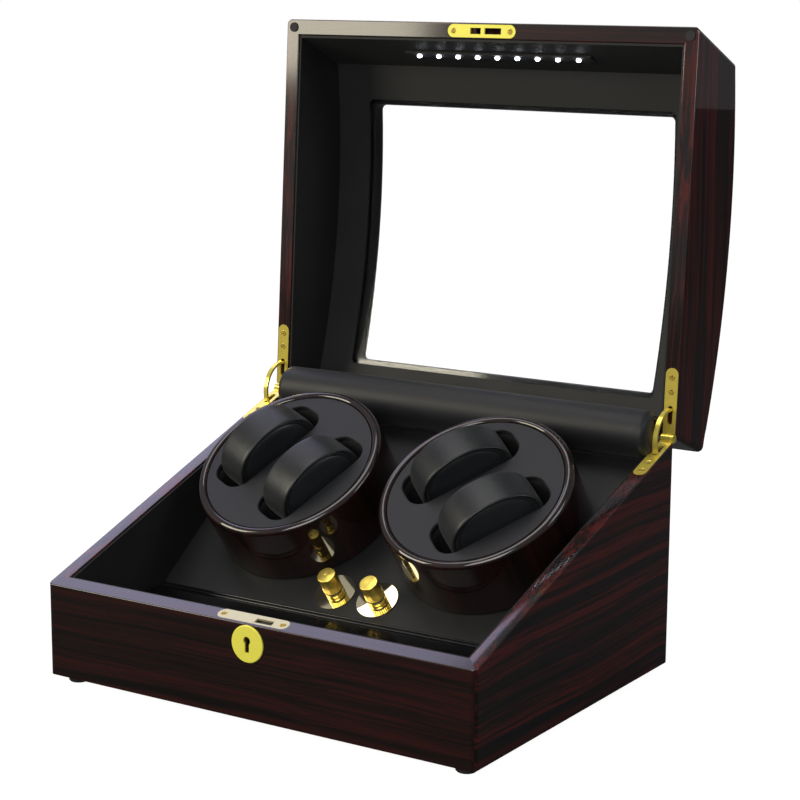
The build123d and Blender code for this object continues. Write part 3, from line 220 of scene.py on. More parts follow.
class Finish:
    """A material being built: add() makes a node, and feed() gives a socket what it needs."""

    def __init__(self, owner):
        """owner is a new material's name, or a material or world to work on further."""
        if isinstance(owner, str):
            owner = bpy.data.materials.new(owner)
        owner.use_nodes = True
        self.material = owner
        self.tree = owner.node_tree
        self.shader = self.tree.nodes.get("Principled BSDF")

    def feed(self, socket, value):
        """Gives a socket a number or a colour, or joins it to the socket that feeds it."""
        if isinstance(value, bpy.types.NodeSocket):
            self.tree.links.new(value, socket)
        else:
            socket.default_value = value

    def add(self, kind, **values):
        """A node of that kind, with its inputs fed and its settings made by name."""
        node = self.tree.nodes.new("ShaderNode" + kind)
        for key, value in values.items():
            if key in node.inputs:
                self.feed(node.inputs[key], value)
            else:
                setattr(node, key, value)
        return node

    def noise(self, coords, scale, detail, roughness=0.5):
        """A noise's strength, with that many features to the metre."""
        node = self.add("TexNoise", Vector=coords, Scale=scale, Detail=detail, Roughness=roughness)
        return node.outputs["Fac"]

    def math(self, operation, first, second=0.0):
        """The result of a sum of two numbers or sockets."""
        node = self.add("Math", operation=operation)
        self.feed(node.inputs[0], first)
        self.feed(node.inputs[1], second)
        return node.outputs[0]

    def vector(self, operation, first, second=(0.0, 0.0, 0.0)):
        """The result of a sum of two vectors: a vector, or a number for a length or a dot product."""
        node = self.add("VectorMath", operation=operation)
        self.feed(node.inputs[0], first)
        self.feed(node.inputs[1], second)
        return node.outputs["Value" if operation in ("DOT_PRODUCT", "LENGTH") else "Vector"]

    def blend(self, factor, first, second):
        """The first colour where the factor is 0, and the second where it is 1."""
        node = self.add("Mix", data_type="RGBA")
        self.feed(node.inputs["Factor"], factor)
        self.feed(node.inputs["A"], first)
        self.feed(node.inputs["B"], second)
        return node.outputs["Result"]

    def uneven(self, factor, colour, darkest, lightest):
        """The colour, times darkest where the factor is low and times lightest where it is high."""
        low, high = (tuple(min(c * k, 1.0) for c in colour) for k in (darkest, lightest))
        return self.ramp(factor, [(0.3, low), (0.7, high)])

    def ramp(self, factor, stops):
        """A colour ramp: stops are (position, colour)."""
        node = self.tree.nodes.new("ShaderNodeValToRGB")
        self.tree.links.new(factor, node.inputs["Fac"])
        band = node.color_ramp
        while len(band.elements) < len(stops):
            band.elements.new(0.5)
        for element, (position, colour) in zip(band.elements, stops):
            element.position = position
            element.color = (*colour, 1.0)
        return node.outputs["Color"]

    def set(self, **values):
        """Sets the shader's own sockets; a name's underscores are spaces."""
        for key, value in values.items():
            self.feed(self.shader.inputs[key.replace("_", " ")], value)

    def bump(self, height, distance, strength=1.0):
        """Raises the surface by the height socket times the distance, in metres."""
        node = self.add("Bump", Height=height, Distance=distance, Strength=strength)
        self.tree.links.new(node.outputs["Normal"], self.shader.inputs["Normal"])
        return node.outputs["Normal"]


def surface_place(f, kind="Object"):
    """Where on the piece a point is: in the object's own metres, or along its own map."""
    return f.add("TexCoord").outputs[kind]


print("node helpers ready")

# %% [markdown]
# The veneer is a striped ebony.  Its figure is long in the grain's direction and fine across it, so a
# noise is sampled on coordinates that are squeezed along the grain.  A slow noise bends the lines first,
# and two widths of stripe are added.  A deep clear coat over it does the piano gloss.

# %% Lacquered ebony
GRAIN_ALONG = 2.0  # features per metre along the grain
GRAIN_ACROSS = 140.0
INK = (0.0042, 0.0026, 0.0023)
HEARTWOOD = (0.0100, 0.0043, 0.0037)
RED_STREAK = (0.105, 0.0110, 0.0085)
GRAIN_BEND = 0.012  # metres that the slow noise moves the lines
BROAD_STRIPES = 0.62  # share of the broad stripes; the fine ones have the rest
ORANGE_PEEL = 0.00005  # metres, the faintest waviness of a hand-flatted lacquer
WALL_GLOSS = (1.30, 0.02)  # the coat's index and roughness on the upright boards
RIM_GLOSS = (0.30, 0.07)  # and what the rims add to them
OPEN_GLOSS = (1.6, 0.05)  # the same two on the drums and the crown
RIM_DEPTH = 1.0 * MM  # the rim's own gloss reaches this far down its rounded edges
RIM_CROWN = 5.5  # metres of fall per square metre: flatting leaves the narrow rims slightly crowned


def ebony(name, turn=(0.0, 0.0, 0.0), shift=0.0, redness=1.0, rim=None, crowned=False, place="Object"):
    """Veneer whose grain runs along the texture's own x after the turn, under a clear gloss coat.

    rim is the rim plane's normal and its distance from the origin; the lacquer is thickest there.
    """
    f = Finish(name)
    coords = surface_place(f, place)
    laid = f.add("Mapping", vector_type="POINT", Vector=coords, Rotation=turn, Location=(shift,) * 3)
    laid = laid.outputs[0]
    slow_noise = f.add("TexNoise", Vector=laid, Scale=5.0, Detail=2.0)
    centred = f.vector("SUBTRACT", slow_noise.outputs["Color"], (0.5, 0.5, 0.5))
    wavy = f.vector("ADD", laid, f.vector("MULTIPLY", centred, (0.0, GRAIN_BEND, GRAIN_BEND)))
    along, across = GRAIN_ALONG, GRAIN_ACROSS
    broad = f.add("Mapping", Vector=wavy, Scale=(along, across, across)).outputs[0]
    fine = f.add("Mapping", Vector=wavy, Scale=(along * 2.5, across * 4.0, across * 4.0)).outputs[0]
    stripes = f.math("MULTIPLY", f.noise(broad, 1.0, 4.0, 0.6), BROAD_STRIPES)
    lines = f.math("MULTIPLY", f.noise(fine, 1.0, 3.0, 0.6), 1.0 - BROAD_STRIPES)
    red = tuple(HEARTWOOD[k] + (RED_STREAK[k] - HEARTWOOD[k]) * redness for k in range(3))
    half_red = tuple(HEARTWOOD[k] * 0.65 + red[k] * 0.35 for k in range(3))
    stops = [(0.40, INK), (0.47, HEARTWOOD), (0.53, half_red), (0.59, red), (0.64, half_red), (0.70, INK)]
    colour = f.ramp(f.math("ADD", stripes, lines), stops)
    f.set(Base_Color=colour, Roughness=0.45, Specular_IOR_Level=0.1, Coat_Weight=1.0)
    ripple = f.bump(f.noise(coords, 34.0, 1.0), ORANGE_PEEL, 0.3)
    if rim is None:
        f.set(Coat_IOR=OPEN_GLOSS[0], Coat_Roughness=OPEN_GLOSS[1])
        return f.material
    normal, level = rim
    height = f.vector("DOT_PRODUCT", coords, tuple(float(c) for c in normal))
    on_rim = f.math("GREATER_THAN", height, level - RIM_DEPTH)
    for key, on_wall, more in zip(("Coat_IOR", "Coat_Roughness"), WALL_GLOSS, RIM_GLOSS):
        f.set(**{key: f.math("ADD", f.math("MULTIPLY", on_rim, more), on_wall)})
    if crowned:
        out = f.math("ABSOLUTE", f.add("SeparateXYZ", Vector=coords).outputs["X"])
        off = f.math("SUBTRACT", out, RIM_MIDDLE)
        fall = f.math("MULTIPLY", f.math("MULTIPLY", off, off), -RIM_CROWN)
        crown = f.add("Bump", Height=fall, Distance=1.0, Strength=1.0, Normal=ripple).outputs["Normal"]
        f.set(Normal=crown, Coat_Normal=crown)
    return f.material


wall_low, wall_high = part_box("base_right_panel")
RIM_MIDDLE = (wall_low.x + wall_high.x) / 2
ON_BASE = (BASE_RIM, BASE_RIM_LEVEL)
ON_LID = (LID_RIM, LID_RIM_LEVEL)
veneer_front = ebony("ebony_across_the_base", redness=0.2, rim=ON_BASE)
veneer_side = ebony(
    "ebony_along_the_base", (0.0, 0.0, -QUARTER), 0.37, redness=0.85, rim=ON_BASE, crowned=True
)
veneer_lid_front = ebony("ebony_across_the_lid", shift=0.9, redness=0.35, rim=ON_LID)
veneer_lid_side = ebony("ebony_up_the_lid", (0.0, QUARTER, 0.0), 0.71, redness=0.8, rim=ON_LID)
veneer_drum = ebony("ebony_on_the_drums", shift=0.2, redness=0.12, place="UV")
print("veneers made")

# %% [markdown]
# Leatherette is a thin coated fabric: an even black with a fine pebble, a soft sheen, and a gloss that
# wanders a little.  The pebble is a cell pattern about half a millimetre wide.

# %% Leatherette
PEBBLE = 1700.0  # cells per metre


def leatherette(name, colour, roughness, sheen, pebble=0.07 * MM, folds=0.0):
    """Fine-grained black leatherette; folds adds slow creases, as on a stuffed piece."""
    f = Finish(name)
    coords = surface_place(f)
    cells = f.add("TexVoronoi", Vector=coords, Scale=PEBBLE, feature="SMOOTH_F1").outputs["Distance"]
    pores = f.noise(coords, PEBBLE * 0.6, 3.0)
    cloud = f.noise(coords, 28.0, 3.0)
    tone = f.uneven(cloud, colour, 0.82, 1.16)
    rough = f.math("ADD", f.math("MULTIPLY", cloud, 0.16), roughness - 0.08)
    height = f.math("ADD", f.math("MULTIPLY", cells, 0.7), f.math("MULTIPLY", pores, 0.5))
    if folds:
        crease = f.noise(coords, 95.0, 4.0, 0.55)
        height = f.math("ADD", height, f.math("MULTIPLY", crease, folds))
    f.set(Base_Color=tone, Roughness=rough, Specular_IOR_Level=0.42)
    f.set(Sheen_Weight=sheen, Sheen_Roughness=0.45)
    f.bump(height, pebble, 0.8)
    return f.material


lining_leather = leatherette("leatherette_of_the_linings", (0.0062, 0.0064, 0.0064), 0.6, 0.03)
deck_leather = leatherette("leatherette_of_the_deck", (0.0070, 0.0072, 0.0076), 0.55, 0.03)
roll_leather = leatherette("leatherette_of_the_roll", (0.0095, 0.0100, 0.0125), 0.5, 0.06)
disc_leather = leatherette("leatherette_of_the_discs", (0.0125, 0.0132, 0.0170), 0.55, 0.04)
pillow_leather = leatherette(
    "leatherette_of_the_pillows", (0.0125, 0.0138, 0.0150), 0.37, 0.06, pebble=0.09 * MM, folds=3.5
)
print("leatherettes made")

# %% [markdown]
# The hardware is polished and gold-plated.  Real polish is never perfectly even, so a slow noise
# changes the roughness, and the spun tops get fine rings.

# %% Metals


def metal(name, colour, roughness, grain=0.0, uneven=0.05, metallic=1.0):
    """A metal finish; grain is the depth in metres of fine polishing lines.

    A clear-lacquered plating is not pure metal to the eye, so metallic may be less than 1.
    """
    f = Finish(name)
    coords = surface_place(f)
    haze = f.noise(coords, 140.0, 4.0)
    rough = f.math("ADD", f.math("MULTIPLY", haze, uneven), roughness - uneven / 2)
    f.set(Base_Color=f.uneven(haze, colour, 0.94, 1.0), Metallic=metallic, Roughness=rough)
    if grain:
        f.bump(f.noise(coords, 2600.0, 2.0), grain, 0.5)
    return f.material


gold = metal("gold_polished", (0.95, 0.76, 0.13), 0.2, metallic=0.55)
gold_satin = metal("gold_satin", (0.98, 0.90, 0.11), 0.42, grain=0.02 * MM, metallic=0.1)
# gold on the lock plate, made pale by a painted reflection of the bright room
gold_pale_painted_reflection = metal("gold_pale_painted_reflection", (0.66, 0.60, 0.36), 0.34, grain=0.02 * MM, metallic=0.5)
gold_mirror = metal("gold_mirror", (0.94, 0.84, 0.58), 0.04, uneven=0.02)
gold_screw = metal("gold_screws", (0.50, 0.36, 0.07), 0.3, metallic=0.7)
# the lock barrel's near-black brass is painted shade of the keyhole's inside
brass_with_painted_keyhole_shade = metal("brass_dark_as_keyhole_shade", (0.10, 0.07, 0.03), 0.4)
steel = metal("steel_zinc_plated", (0.60, 0.60, 0.58), 0.38, grain=0.02 * MM)
bronze = metal("bronze_sintered", (0.45, 0.30, 0.16), 0.5, grain=0.03 * MM)


def spun_gold():
    """Fine rings about each knob's own middle, drawn along the piece's own map."""
    f = Finish("gold_spun")
    coords = surface_place(f, "UV")
    rings = f.add("TexWave", Vector=coords, Scale=220.0, Distortion=1.5, Detail=2.0, bands_direction="X")
    f.set(Base_Color=(0.88, 0.66, 0.13, 1.0), Metallic=0.9, Roughness=0.2)
    f.bump(rings.outputs["Fac"], 0.012 * MM, 0.7)
    return f.material


knob_gold = spun_gold()
print("metals made")

# %% [markdown]
# The rest are plain moulded things, each with the little unevenness that moulding leaves.

# %% Rubber, plastics, board, pane and lamps


def moulded(name, colour, roughness, speckle=900.0, depth=0.04 * MM):
    """A moulded or painted surface with a fine texture and a slightly uneven tone."""
    f = Finish(name)
    coords = surface_place(f)
    fine = f.noise(coords, speckle, 3.0)
    tone = f.uneven(f.noise(coords, 40.0, 2.0), colour, 0.88, 1.08)
    f.set(Base_Color=tone, Roughness=f.math("ADD", f.math("MULTIPLY", fine, 0.12), roughness - 0.06))
    f.bump(fine, depth, 0.6)
    return f.material


rubber = moulded("rubber_black", (0.018, 0.018, 0.018), 0.75)
black_plastic = moulded("plastic_black", (0.022, 0.022, 0.024), 0.45)
nylon = moulded("nylon_white", (0.74, 0.73, 0.68), 0.5)
stained_board = moulded("board_stained", (0.030, 0.026, 0.025), 0.7, speckle=500.0, depth=0.1 * MM)
green_board = moulded("circuit_board_green", (0.02, 0.13, 0.06), 0.35)
gloss_black = moulded("black_gloss", (0.006, 0.006, 0.007), 0.16, speckle=300.0, depth=0.02 * MM)
# near-black for the sleeves in the slots: painted shade of the deep gaps round the pillows
slot_painted_shade = moulded("painted_shade_in_the_slots", (0.004, 0.004, 0.0045), 0.9)


def pane():
    """Clear acrylic: thin, so it hardly bends the light, with a trace of polish marks in its gloss."""
    f = Finish("acrylic_clear")
    marks = f.noise(surface_place(f), 60.0, 4.0)
    f.set(Base_Color=(0.99, 0.995, 0.995, 1.0), Roughness=f.math("MULTIPLY", marks, 0.012))
    f.set(Transmission_Weight=1.0, IOR=1.12, Specular_IOR_Level=0.5)
    return f.material


def lamp_glow():
    """A small white lamp: a pale body that shines, its glow a little uneven."""
    f = Finish("lamp_white")
    grain = f.noise(surface_place(f), 700.0, 2.0)
    tone = f.ramp(grain, [(0.3, (0.78, 0.86, 1.0)), (0.7, (0.92, 0.96, 1.0))])
    f.set(Base_Color=(0.9, 0.92, 1.0, 1.0), Roughness=0.3, Emission_Color=tone, Emission_Strength=14.0)
    return f.material


VENEER_DEPTH = 1.2 * MM  # deeper than this below the crown the frame is coloured near-black, painted shade on the window's cut edge


def outer_arc(name, spread=10.0):
    """The circle, seen from the side, that the crowned top follows: its centre (y, z) and its radius.

    The outermost points within so many degrees of straight back lie on it; a circle is fitted to them.
    """
    side = points_of(nodes[name].data)[:, 1:]
    angles = np.radians(np.linspace(-spread, spread, 60))
    ways = np.stack([np.cos(angles), np.sin(angles)], -1)
    hull = np.unique(side[np.argmax(side @ ways.T, axis=0)].round(6), axis=0)
    system = np.column_stack([2 * hull, np.ones(len(hull))])
    y, z, rest = np.linalg.lstsq(system, (hull**2).sum(axis=1), rcond=None)[0]
    return y, z, math.sqrt(rest + y * y + z * z)


def veneer_with_shade_painted_edge():
    """The top frame: veneer outside, and near-black deeper than the veneer: painted shade on the window's
    cut edge, and the lining's black where the lining leaves the frame bare.
    """
    y, z, radius = outer_arc("lid_top_frame")
    print("crown of the lid: radius", round(radius, 3), "about", round(y, 3), round(z, 3))
    f = Finish(ebony("ebony_over_the_crown", (0.0, QUARTER, 0.0), 0.53, redness=0.8))
    from_hub = f.vector("SUBTRACT", surface_place(f), (0.0, y, z))
    flat = f.vector("MULTIPLY", from_hub, (0.0, 1.0, 1.0))
    inside = f.math("LESS_THAN", f.vector("LENGTH", flat), radius - VENEER_DEPTH)
    veneer = f.shader.inputs["Base Color"].links[0].from_socket
    # near-black below the veneer: painted shade on the window's edge, and the lining's black under the
    # frame
    f.set(Base_Color=f.blend(inside, veneer, (0.006, 0.006, 0.006, 1.0)))
    return f.material


veneer_top = veneer_with_shade_painted_edge()
acrylic = pane()
lamp_white = lamp_glow()
print("other finishes made")

# %% [markdown]
# Each construction node gets its finish by name.  The veneer's direction follows the board it is laid
# on: across the front and the back, along the sides, and up the sides of the open lid.

# %% Finishes on the construction nodes


def both(name):
    """The two nodes that a piece has, one on each side."""
    return [f"{name}_{side}" for side in SIDES]


WEAR = {
    veneer_front: ["base_front_panel", "base_back_panel"],
    veneer_side: ["base_left_panel", "base_right_panel"],
    veneer_lid_front: ["lid_front_panel", "lid_back_panel"],
    veneer_lid_side: ["lid_left_panel", "lid_right_panel"],
    veneer_top: ["lid_top_frame"],
    veneer_drum: both("drum_shell"),
    lining_leather: ["base_wall_lining", "lid_top_lining", "lid_wall_lining", "led_strip"],
    deck_leather: ["deck_board"],
    gloss_black: ["front_shelf"],
    roll_leather: ["rear_bolster"],
    disc_leather: both("drum_insert"),
    pillow_leather: ["pillow_left_1", "pillow_left_2", "pillow_right_1", "pillow_right_2"],
    gold: ["hinge_base_leaves", "hinge_lid_leaves", "hinge_pins", *both("stay_arm"), *both("knob")],
    gold_satin: ["striker_plate", "escutcheon"],
    gold_pale_painted_reflection: ["lock_plate"],
    gold_screw: ["base_screws", "lid_screws"],
    brass_with_painted_keyhole_shade: ["lock_barrel"],
    gold_mirror: ["knob_bezels"],
    steel: ["lock_case", "lock_hook", "motor_cans", "motor_brackets"]
    + both("turntable_shaft")
    + both("drive_pinion"),
    bronze: ["shaft_bushes"],
    nylon: both("turntable_gear"),
    rubber: ["rubber_feet", "lid_bumpers"],
    black_plastic: ["gearboxes", "selector_switches", "dc_jack"],
    stained_board: ["base_bottom_panel", "deck_battens"],
    green_board: ["control_board"],
    lamp_white: ["led_chips"],
    acrylic: ["window_pane"],
}
for material, names in WEAR.items():
    for name in names:
        mesh = nodes[name].data
        mesh.materials.clear()
        mesh.materials.append(material)
print("finished", sum(len(names) for names in WEAR.values()), "of", len(nodes), "nodes")


def dress(piece, body, slot, material, *stands_for):
    """Gives a new piece its finish and body, and hides the construction nodes it stands for; the slot is
    not used.
    """
    piece.data.materials.clear()
    piece.data.materials.append(material)
    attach(piece, body)
    if stands_for:
        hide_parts(*stands_for)


# %% [markdown]
# The drums are turned and lacquered.  What catches the eye is the lip: it is rolled over in one full
# curve, so it shows a bright line all round.  The construction drum has small fillets there, so a
# turned profile with a wide roll takes its place, with more steps around for a clean reflection.

# %% Drums
DRUM_RADIUS = 69.0 * MM
DRUM_HEIGHT = 48.8 * MM
DRUM_RECESS = 62.3 * MM  # the insert drops in here
DRUM_LEDGE = 5.0 * MM
DRUM_BORE = 60.0 * MM
DRUM_FLOOR = 5.0 * MM
FOOT_ROUND = 1.0 * MM
LIP_OUT = 3.6 * MM
LIP_IN = 2.9 * MM
DRUM_FIGURE = (0.12, 0.43)  # metres of veneer that the map shows up the wall and around it


def drum_profile():
    """Radius and height, from the middle of the underside, up the wall, over the lip and down inside."""
    corners = [
        (0.0, -DRUM_HEIGHT),
        (DRUM_RADIUS, -DRUM_HEIGHT),
        (DRUM_RADIUS, 0.0),
        (DRUM_RECESS, 0.0),
        (DRUM_RECESS, -DRUM_LEDGE),
        (DRUM_BORE, -DRUM_LEDGE),
        (DRUM_BORE, -DRUM_HEIGHT + DRUM_FLOOR),
        (0.0, -DRUM_HEIGHT + DRUM_FLOOR),
    ]
    return rounded(corners, (FOOT_ROUND, LIP_OUT, LIP_IN, 0, 0, 0), steps=10)


faces = {}
for name in SIDES:
    faces[name] = middle(f"drum_shell_{name}") + UP * DRUM_HEIGHT / 2
    drum = turned(f"drum_{name}", drum_profile(), faces[name], steps=200, uv=DRUM_FIGURE)
    dress(drum, f"turntable_{name}", "lacquered_ebony", veneer_drum, f"drum_shell_{name}")
    print("drum", name, "face at", faces[name].round(4))

# %% [markdown]
# In each drum sits a leatherette disc with two slots.  The leatherette is turned over the slots' edges,
# so they are soft.  A quarter-round profile carried along the slot's outline gives that roll; the
# construction disc stays under it.

# %% Soft edges of the slots
TURN = {"left": math.radians(66.0), "right": math.radians(48.5)}
SLOT_LENGTH = 86.5 * MM
SLOT_WIDTH = 35.0 * MM
SLOT_CORNER = 13.5 * MM
SLOT_OFFSET = 27.5 * MM
SLOTS = {1: SLOT_OFFSET, 2: -SLOT_OFFSET}
INSERT_SETBACK = 2.0 * MM
EDGE_ROLL = 0.9 * MM
EDGE_SUNK = 0.25 * MM  # the roll's top lies this far below its own radius, so it starts in the disc
CARD = 0.4 * MM


def long_axis(name):
    """The unit vectors along a slot and across it, on that drum's face."""
    along = math.cos(TURN[name]) * ACROSS + math.sin(TURN[name]) * SLOPEWARD
    return along, np.cross(UP, along)


def rounded_outline(length, width, corner, steps=14):
    """Points and outward directions around a rectangle with round corners."""
    points, outward = [], []
    for quarter, (sx, sy) in enumerate([(1, 1), (-1, 1), (-1, -1), (1, -1)]):
        angle = np.linspace(quarter, quarter + 1, steps) * QUARTER
        ray = np.stack([np.cos(angle), np.sin(angle)], -1)
        hub = np.array([sx * (length / 2 - corner), sy * (width / 2 - corner)])
        points.append(hub + corner * ray)
        outward.append(ray)
    return np.concatenate(points), np.concatenate(outward)


def below_face(name, offset, flat, drop):
    """Points of flat (along, across) sections, each dropped by its own depth below the disc's face."""
    along, cross = long_axis(name)
    base = faces[name] - UP * INSERT_SETBACK
    return base + flat[..., :1] * along + (flat[..., 1:] + offset) * cross - drop[:, None, None] * UP


def slot_edge(name, number):
    """The turned-over edge of one slot: a quarter circle from the disc's face down into the slot."""
    outline, outward = rounded_outline(SLOT_LENGTH, SLOT_WIDTH, SLOT_CORNER)
    angle = np.linspace(0, QUARTER, 8)
    start = [-EDGE_ROLL, -0.5 * MM]
    inward = np.concatenate([start, EDGE_ROLL * np.sin(angle), [EDGE_ROLL]])
    start = [0.02 * MM, -0.22 * MM]
    drop = np.concatenate([start, EDGE_ROLL * (1 - np.cos(angle)) - EDGE_SUNK, [3.5 * MM]])
    flat = outline[None] - inward[:, None, None] * outward[None]
    return surface(f"slot_edge_{name}_{number}", below_face(name, SLOTS[number], flat, drop), around=True)


def slot_sleeve(name, number):
    """A near-black sleeve below the roll, closed at the bottom, that the pillow hangs in; its black is
    painted shade of the deep gap round the pillow.
    """
    outline, outward = rounded_outline(SLOT_LENGTH, SLOT_WIDTH, SLOT_CORNER)
    inward = np.array([1.2, 1.2, 1.2, 2.5, 10.0, 17.49]) * MM
    drop = np.array([1.6, 12.0, 33.0, 34.5, 34.5, 34.5]) * MM
    flat = outline[None] - inward[:, None, None] * outward[None]
    flat[-2:, :, 0] = outline[None, :, 0] * np.array([0.75, 0.5])[:, None]
    flat[-2:, :, 1] = outline[None, :, 1] * np.array([0.5, 0.0])[:, None]
    return surface(f"slot_sleeve_{name}_{number}", below_face(name, SLOTS[number], flat, drop), around=True)


for name in SIDES:
    for number in SLOTS:
        for shape_of, finish in ((slot_edge, disc_leather), (slot_sleeve, slot_painted_shade)):
            piece = shape_of(name, number)
            card = piece.modifiers.new("card", "SOLIDIFY")
            card.thickness = CARD
            card.offset = 1.0
            dress(piece, f"turntable_{name}", "lining_leatherette", finish)
print("slot edges made")

# %% [markdown]
# A watch pillow is a foam core in leatherette: a wide band goes round it, and on each side a puffed
# oval is sewn in, with a welt between.  A cushion could be inflated from a box, but the seams would
# drown.  So the sewn shape is worked out first, as a profile from the middle of one side over the band
# to the middle of the other, carried round an ellipse.  Then the cloth between the seams is inflated.

# %% Pillows: the sewn shape
PILLOW_LONG = 69.0 * MM
PILLOW_TALL = 52.0 * MM
PILLOW_WIDE = 29.0 * MM
BLUNT = 0.94  # less than 1 makes the outline fuller than an ellipse
PILLOW_EASE = 0.985  # room for the swelling
SEAMS = (0.83, 0.925)  # share of the ellipse where the oval and the welt are sewn


def pillow_profile():
    """Share of the ellipse and place across, from the middle of one side to the middle of the other.

    The oval bulges, dips at its seam, the welt stands up, dips again, and the band closes over the top.
    """
    share = [0.0, 0.15, 0.3, 0.45, 0.6, 0.7, 0.77, 0.81, 0.83, 0.85, 0.875, 0.9, 0.918, 0.925, 0.935]
    place = [0.99, 0.985, 0.975, 0.955, 0.92, 0.88, 0.835, 0.79, 0.74, 0.83, 0.89, 0.9, 0.84, 0.78, 0.86]
    arc = np.linspace(0, QUARTER, 9)[1:]
    edge_share = 0.945 + 0.045 * np.sin(arc)
    edge_place = 0.865 + 0.105 * np.cos(arc)
    band = np.linspace(0.80, 0.0, 11)
    band_share = 0.992 + 0.008 * np.cos(band * QUARTER)
    share = np.concatenate([share, edge_share, band_share])
    place = np.concatenate([place, edge_place, band])
    share = np.concatenate([share, share[-2::-1]])
    place = np.concatenate([place, -place[-2::-1]]) * PILLOW_WIDE / 2
    return share, place


def pillow_points(steps=144):
    """Points in the pillow's own frame: x along, y across, z up; the outline is a blunt ellipse."""
    share, place = pillow_profile()
    angle = full_turn(steps)
    x = np.sign(np.cos(angle)) * np.abs(np.cos(angle)) ** BLUNT * PILLOW_LONG / 2
    z = np.sign(np.sin(angle)) * np.abs(np.sin(angle)) ** BLUNT * PILLOW_TALL / 2
    points = np.zeros((len(share), steps, 3))
    points[..., 0] = share[:, None] * x
    points[..., 1] = place[:, None]
    points[..., 2] = share[:, None] * z
    return points


print("pillow profile:", len(pillow_profile()[0]), "rows")

# %% [markdown]
# The inflation is a short cloth run with pressure and no gravity.  The seams are pinned, the rest may
# swell, and a cap keeps every point within a millimetre of the sewn shape, so the pillow stays clear of
# its slot.  The same run does the roll at the back later.

# %% Inflating a sewn shape
CLOTH_FRAMES = 16


def eased(mesh, travel, rounds):
    """Each point's travel is averaged with its neighbours' a few times, as foam evens out cloth."""
    ends = np.zeros(len(mesh.edges) * 2, dtype=int)
    mesh.edges.foreach_get("vertices", ends)
    start, stop = ends.reshape(-1, 2).T
    count = np.bincount(ends, minlength=len(travel))[:, None]
    for _ in range(rounds):
        total = np.zeros_like(travel)
        np.add.at(total, start, travel[stop])
        np.add.at(total, stop, travel[start])
        travel = 0.4 * travel + 0.6 * total / count
    return travel


def inflate(piece, pins, pressure, cap, shrink=0.0, rounds=4):
    """Runs a pressure cloth on the piece, holds the pinned points, and limits every point's travel."""
    rest = points_of(piece.data)
    group = piece.vertex_groups.new(name="seams")
    for index, weight in enumerate(pins):
        if weight > 0.01:
            group.add([index], float(weight), "REPLACE")
    cloth = piece.modifiers.new("cloth", "CLOTH")
    settings = cloth.settings
    settings.quality = 6
    settings.mass = 0.25
    settings.tension_stiffness = 12
    settings.compression_stiffness = 8
    settings.shear_stiffness = 5
    settings.bending_stiffness = 0.4
    settings.vertex_group_mass = "seams"
    settings.pin_stiffness = 1.0
    settings.use_pressure = True
    settings.uniform_pressure_force = pressure
    settings.shrink_min = shrink
    settings.effector_weights.gravity = 0.0
    cloth.collision_settings.use_collision = False
    scene = bpy.context.scene
    for step in range(1, CLOTH_FRAMES + 1):
        scene.frame_set(step)
    ready = piece.evaluated_get(bpy.context.evaluated_depsgraph_get())
    moved = points_of(ready.data)
    piece.modifiers.remove(cloth)
    scene.frame_set(1)
    step = eased(piece.data, moved - rest, rounds)
    length = np.linalg.norm(step, axis=1, keepdims=True)
    step *= np.minimum(1.0, cap / np.maximum(length, 1e-9))
    piece.data.vertices.foreach_set("co", (rest + step).reshape(-1))
    piece.data.update()
    print("inflated", piece.name, "largest travel", round(float(length.max()) * 1000, 2), "mm")


print("cloth run of", CLOTH_FRAMES, "frames ready")

# %% [markdown]
# All four pillows are cut from one pattern, so one is sewn and stuffed, and the others are copies of it.
# A hand-stuffed pillow differs a little from the next in width.  The seams are pinned hard, and the band
# gently, because the foam under it is firm.

# %% Pillows: one is sewn and stuffed, four are placed
sewn = surface("pillow_pattern", pillow_points(), around=True)
shape = points_of(sewn.data)
ring = np.hypot(shape[:, 0] / (PILLOW_LONG / 2), shape[:, 2] / (PILLOW_TALL / 2))
off_middle = np.abs(shape[:, 1]) / (PILLOW_WIDE / 2)
pins = np.maximum.reduce([np.exp(-(((ring - seam) / 0.02) ** 2)) for seam in SEAMS]) * (off_middle > 0.7)
pins = np.maximum(pins, 0.35 * (ring > 0.97))
inflate(sewn, pins, pressure=2.0, cap=0.7 * MM, rounds=5)
stuffed = points_of(sewn.data) * PILLOW_EASE
for name in SIDES:
    along, cross = long_axis(name)
    for number in SLOTS:
        label = f"pillow_{name}_{number}"
        centre = middle(label)
        piece = bpy.data.objects.new(label + "_sewn", sewn.data.copy())
        bpy.context.scene.collection.objects.link(piece)
        width = stuffed[:, 1:2] * (1.0 + 0.012 * math.sin(3.1 * number + 1.7 * SIDES[name]))
        points = centre + stuffed[:, :1] * along + width * cross + stuffed[:, 2:] * UP
        piece.data.vertices.foreach_set("co", points.reshape(-1))
        close_and_turn_out(piece)
        smooth = piece.modifiers.new("smooth", "SUBSURF")
        smooth.levels = smooth.render_levels = 1
        dress(piece, label, "pillow_leatherette", pillow_leather, label)
bpy.data.objects.remove(sewn)
print("four pillows placed")

# %% [markdown]
# The roll along the back is leatherette over foam, tight over the ridge and tucked in at the bottom.
# Its section is the construction roll's half circle.  The length has the slight ups and downs that the
# tucks make, worked out as a few slow waves, and the cloth run softens them.  Its right end lies over
# the rim.

# %% The padded roll at the back
low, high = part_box("rear_bolster")
ROLL_RADIUS = (high.z - low.z) / 2
ROLL_BACK = low.y + ROLL_RADIUS
ROLL_MIDDLE = (high.z + low.z) / 2
ROLL_OVER = 4.5 * MM  # how far the right end lies over the rim
ROLL_SHORT = 10.0 * MM  # and how far the left end stops short of the construction roll
ROLL_START = low.x + ROLL_SHORT
ROLL_END = high.x + ROLL_OVER
TUCK = 0.35 * MM


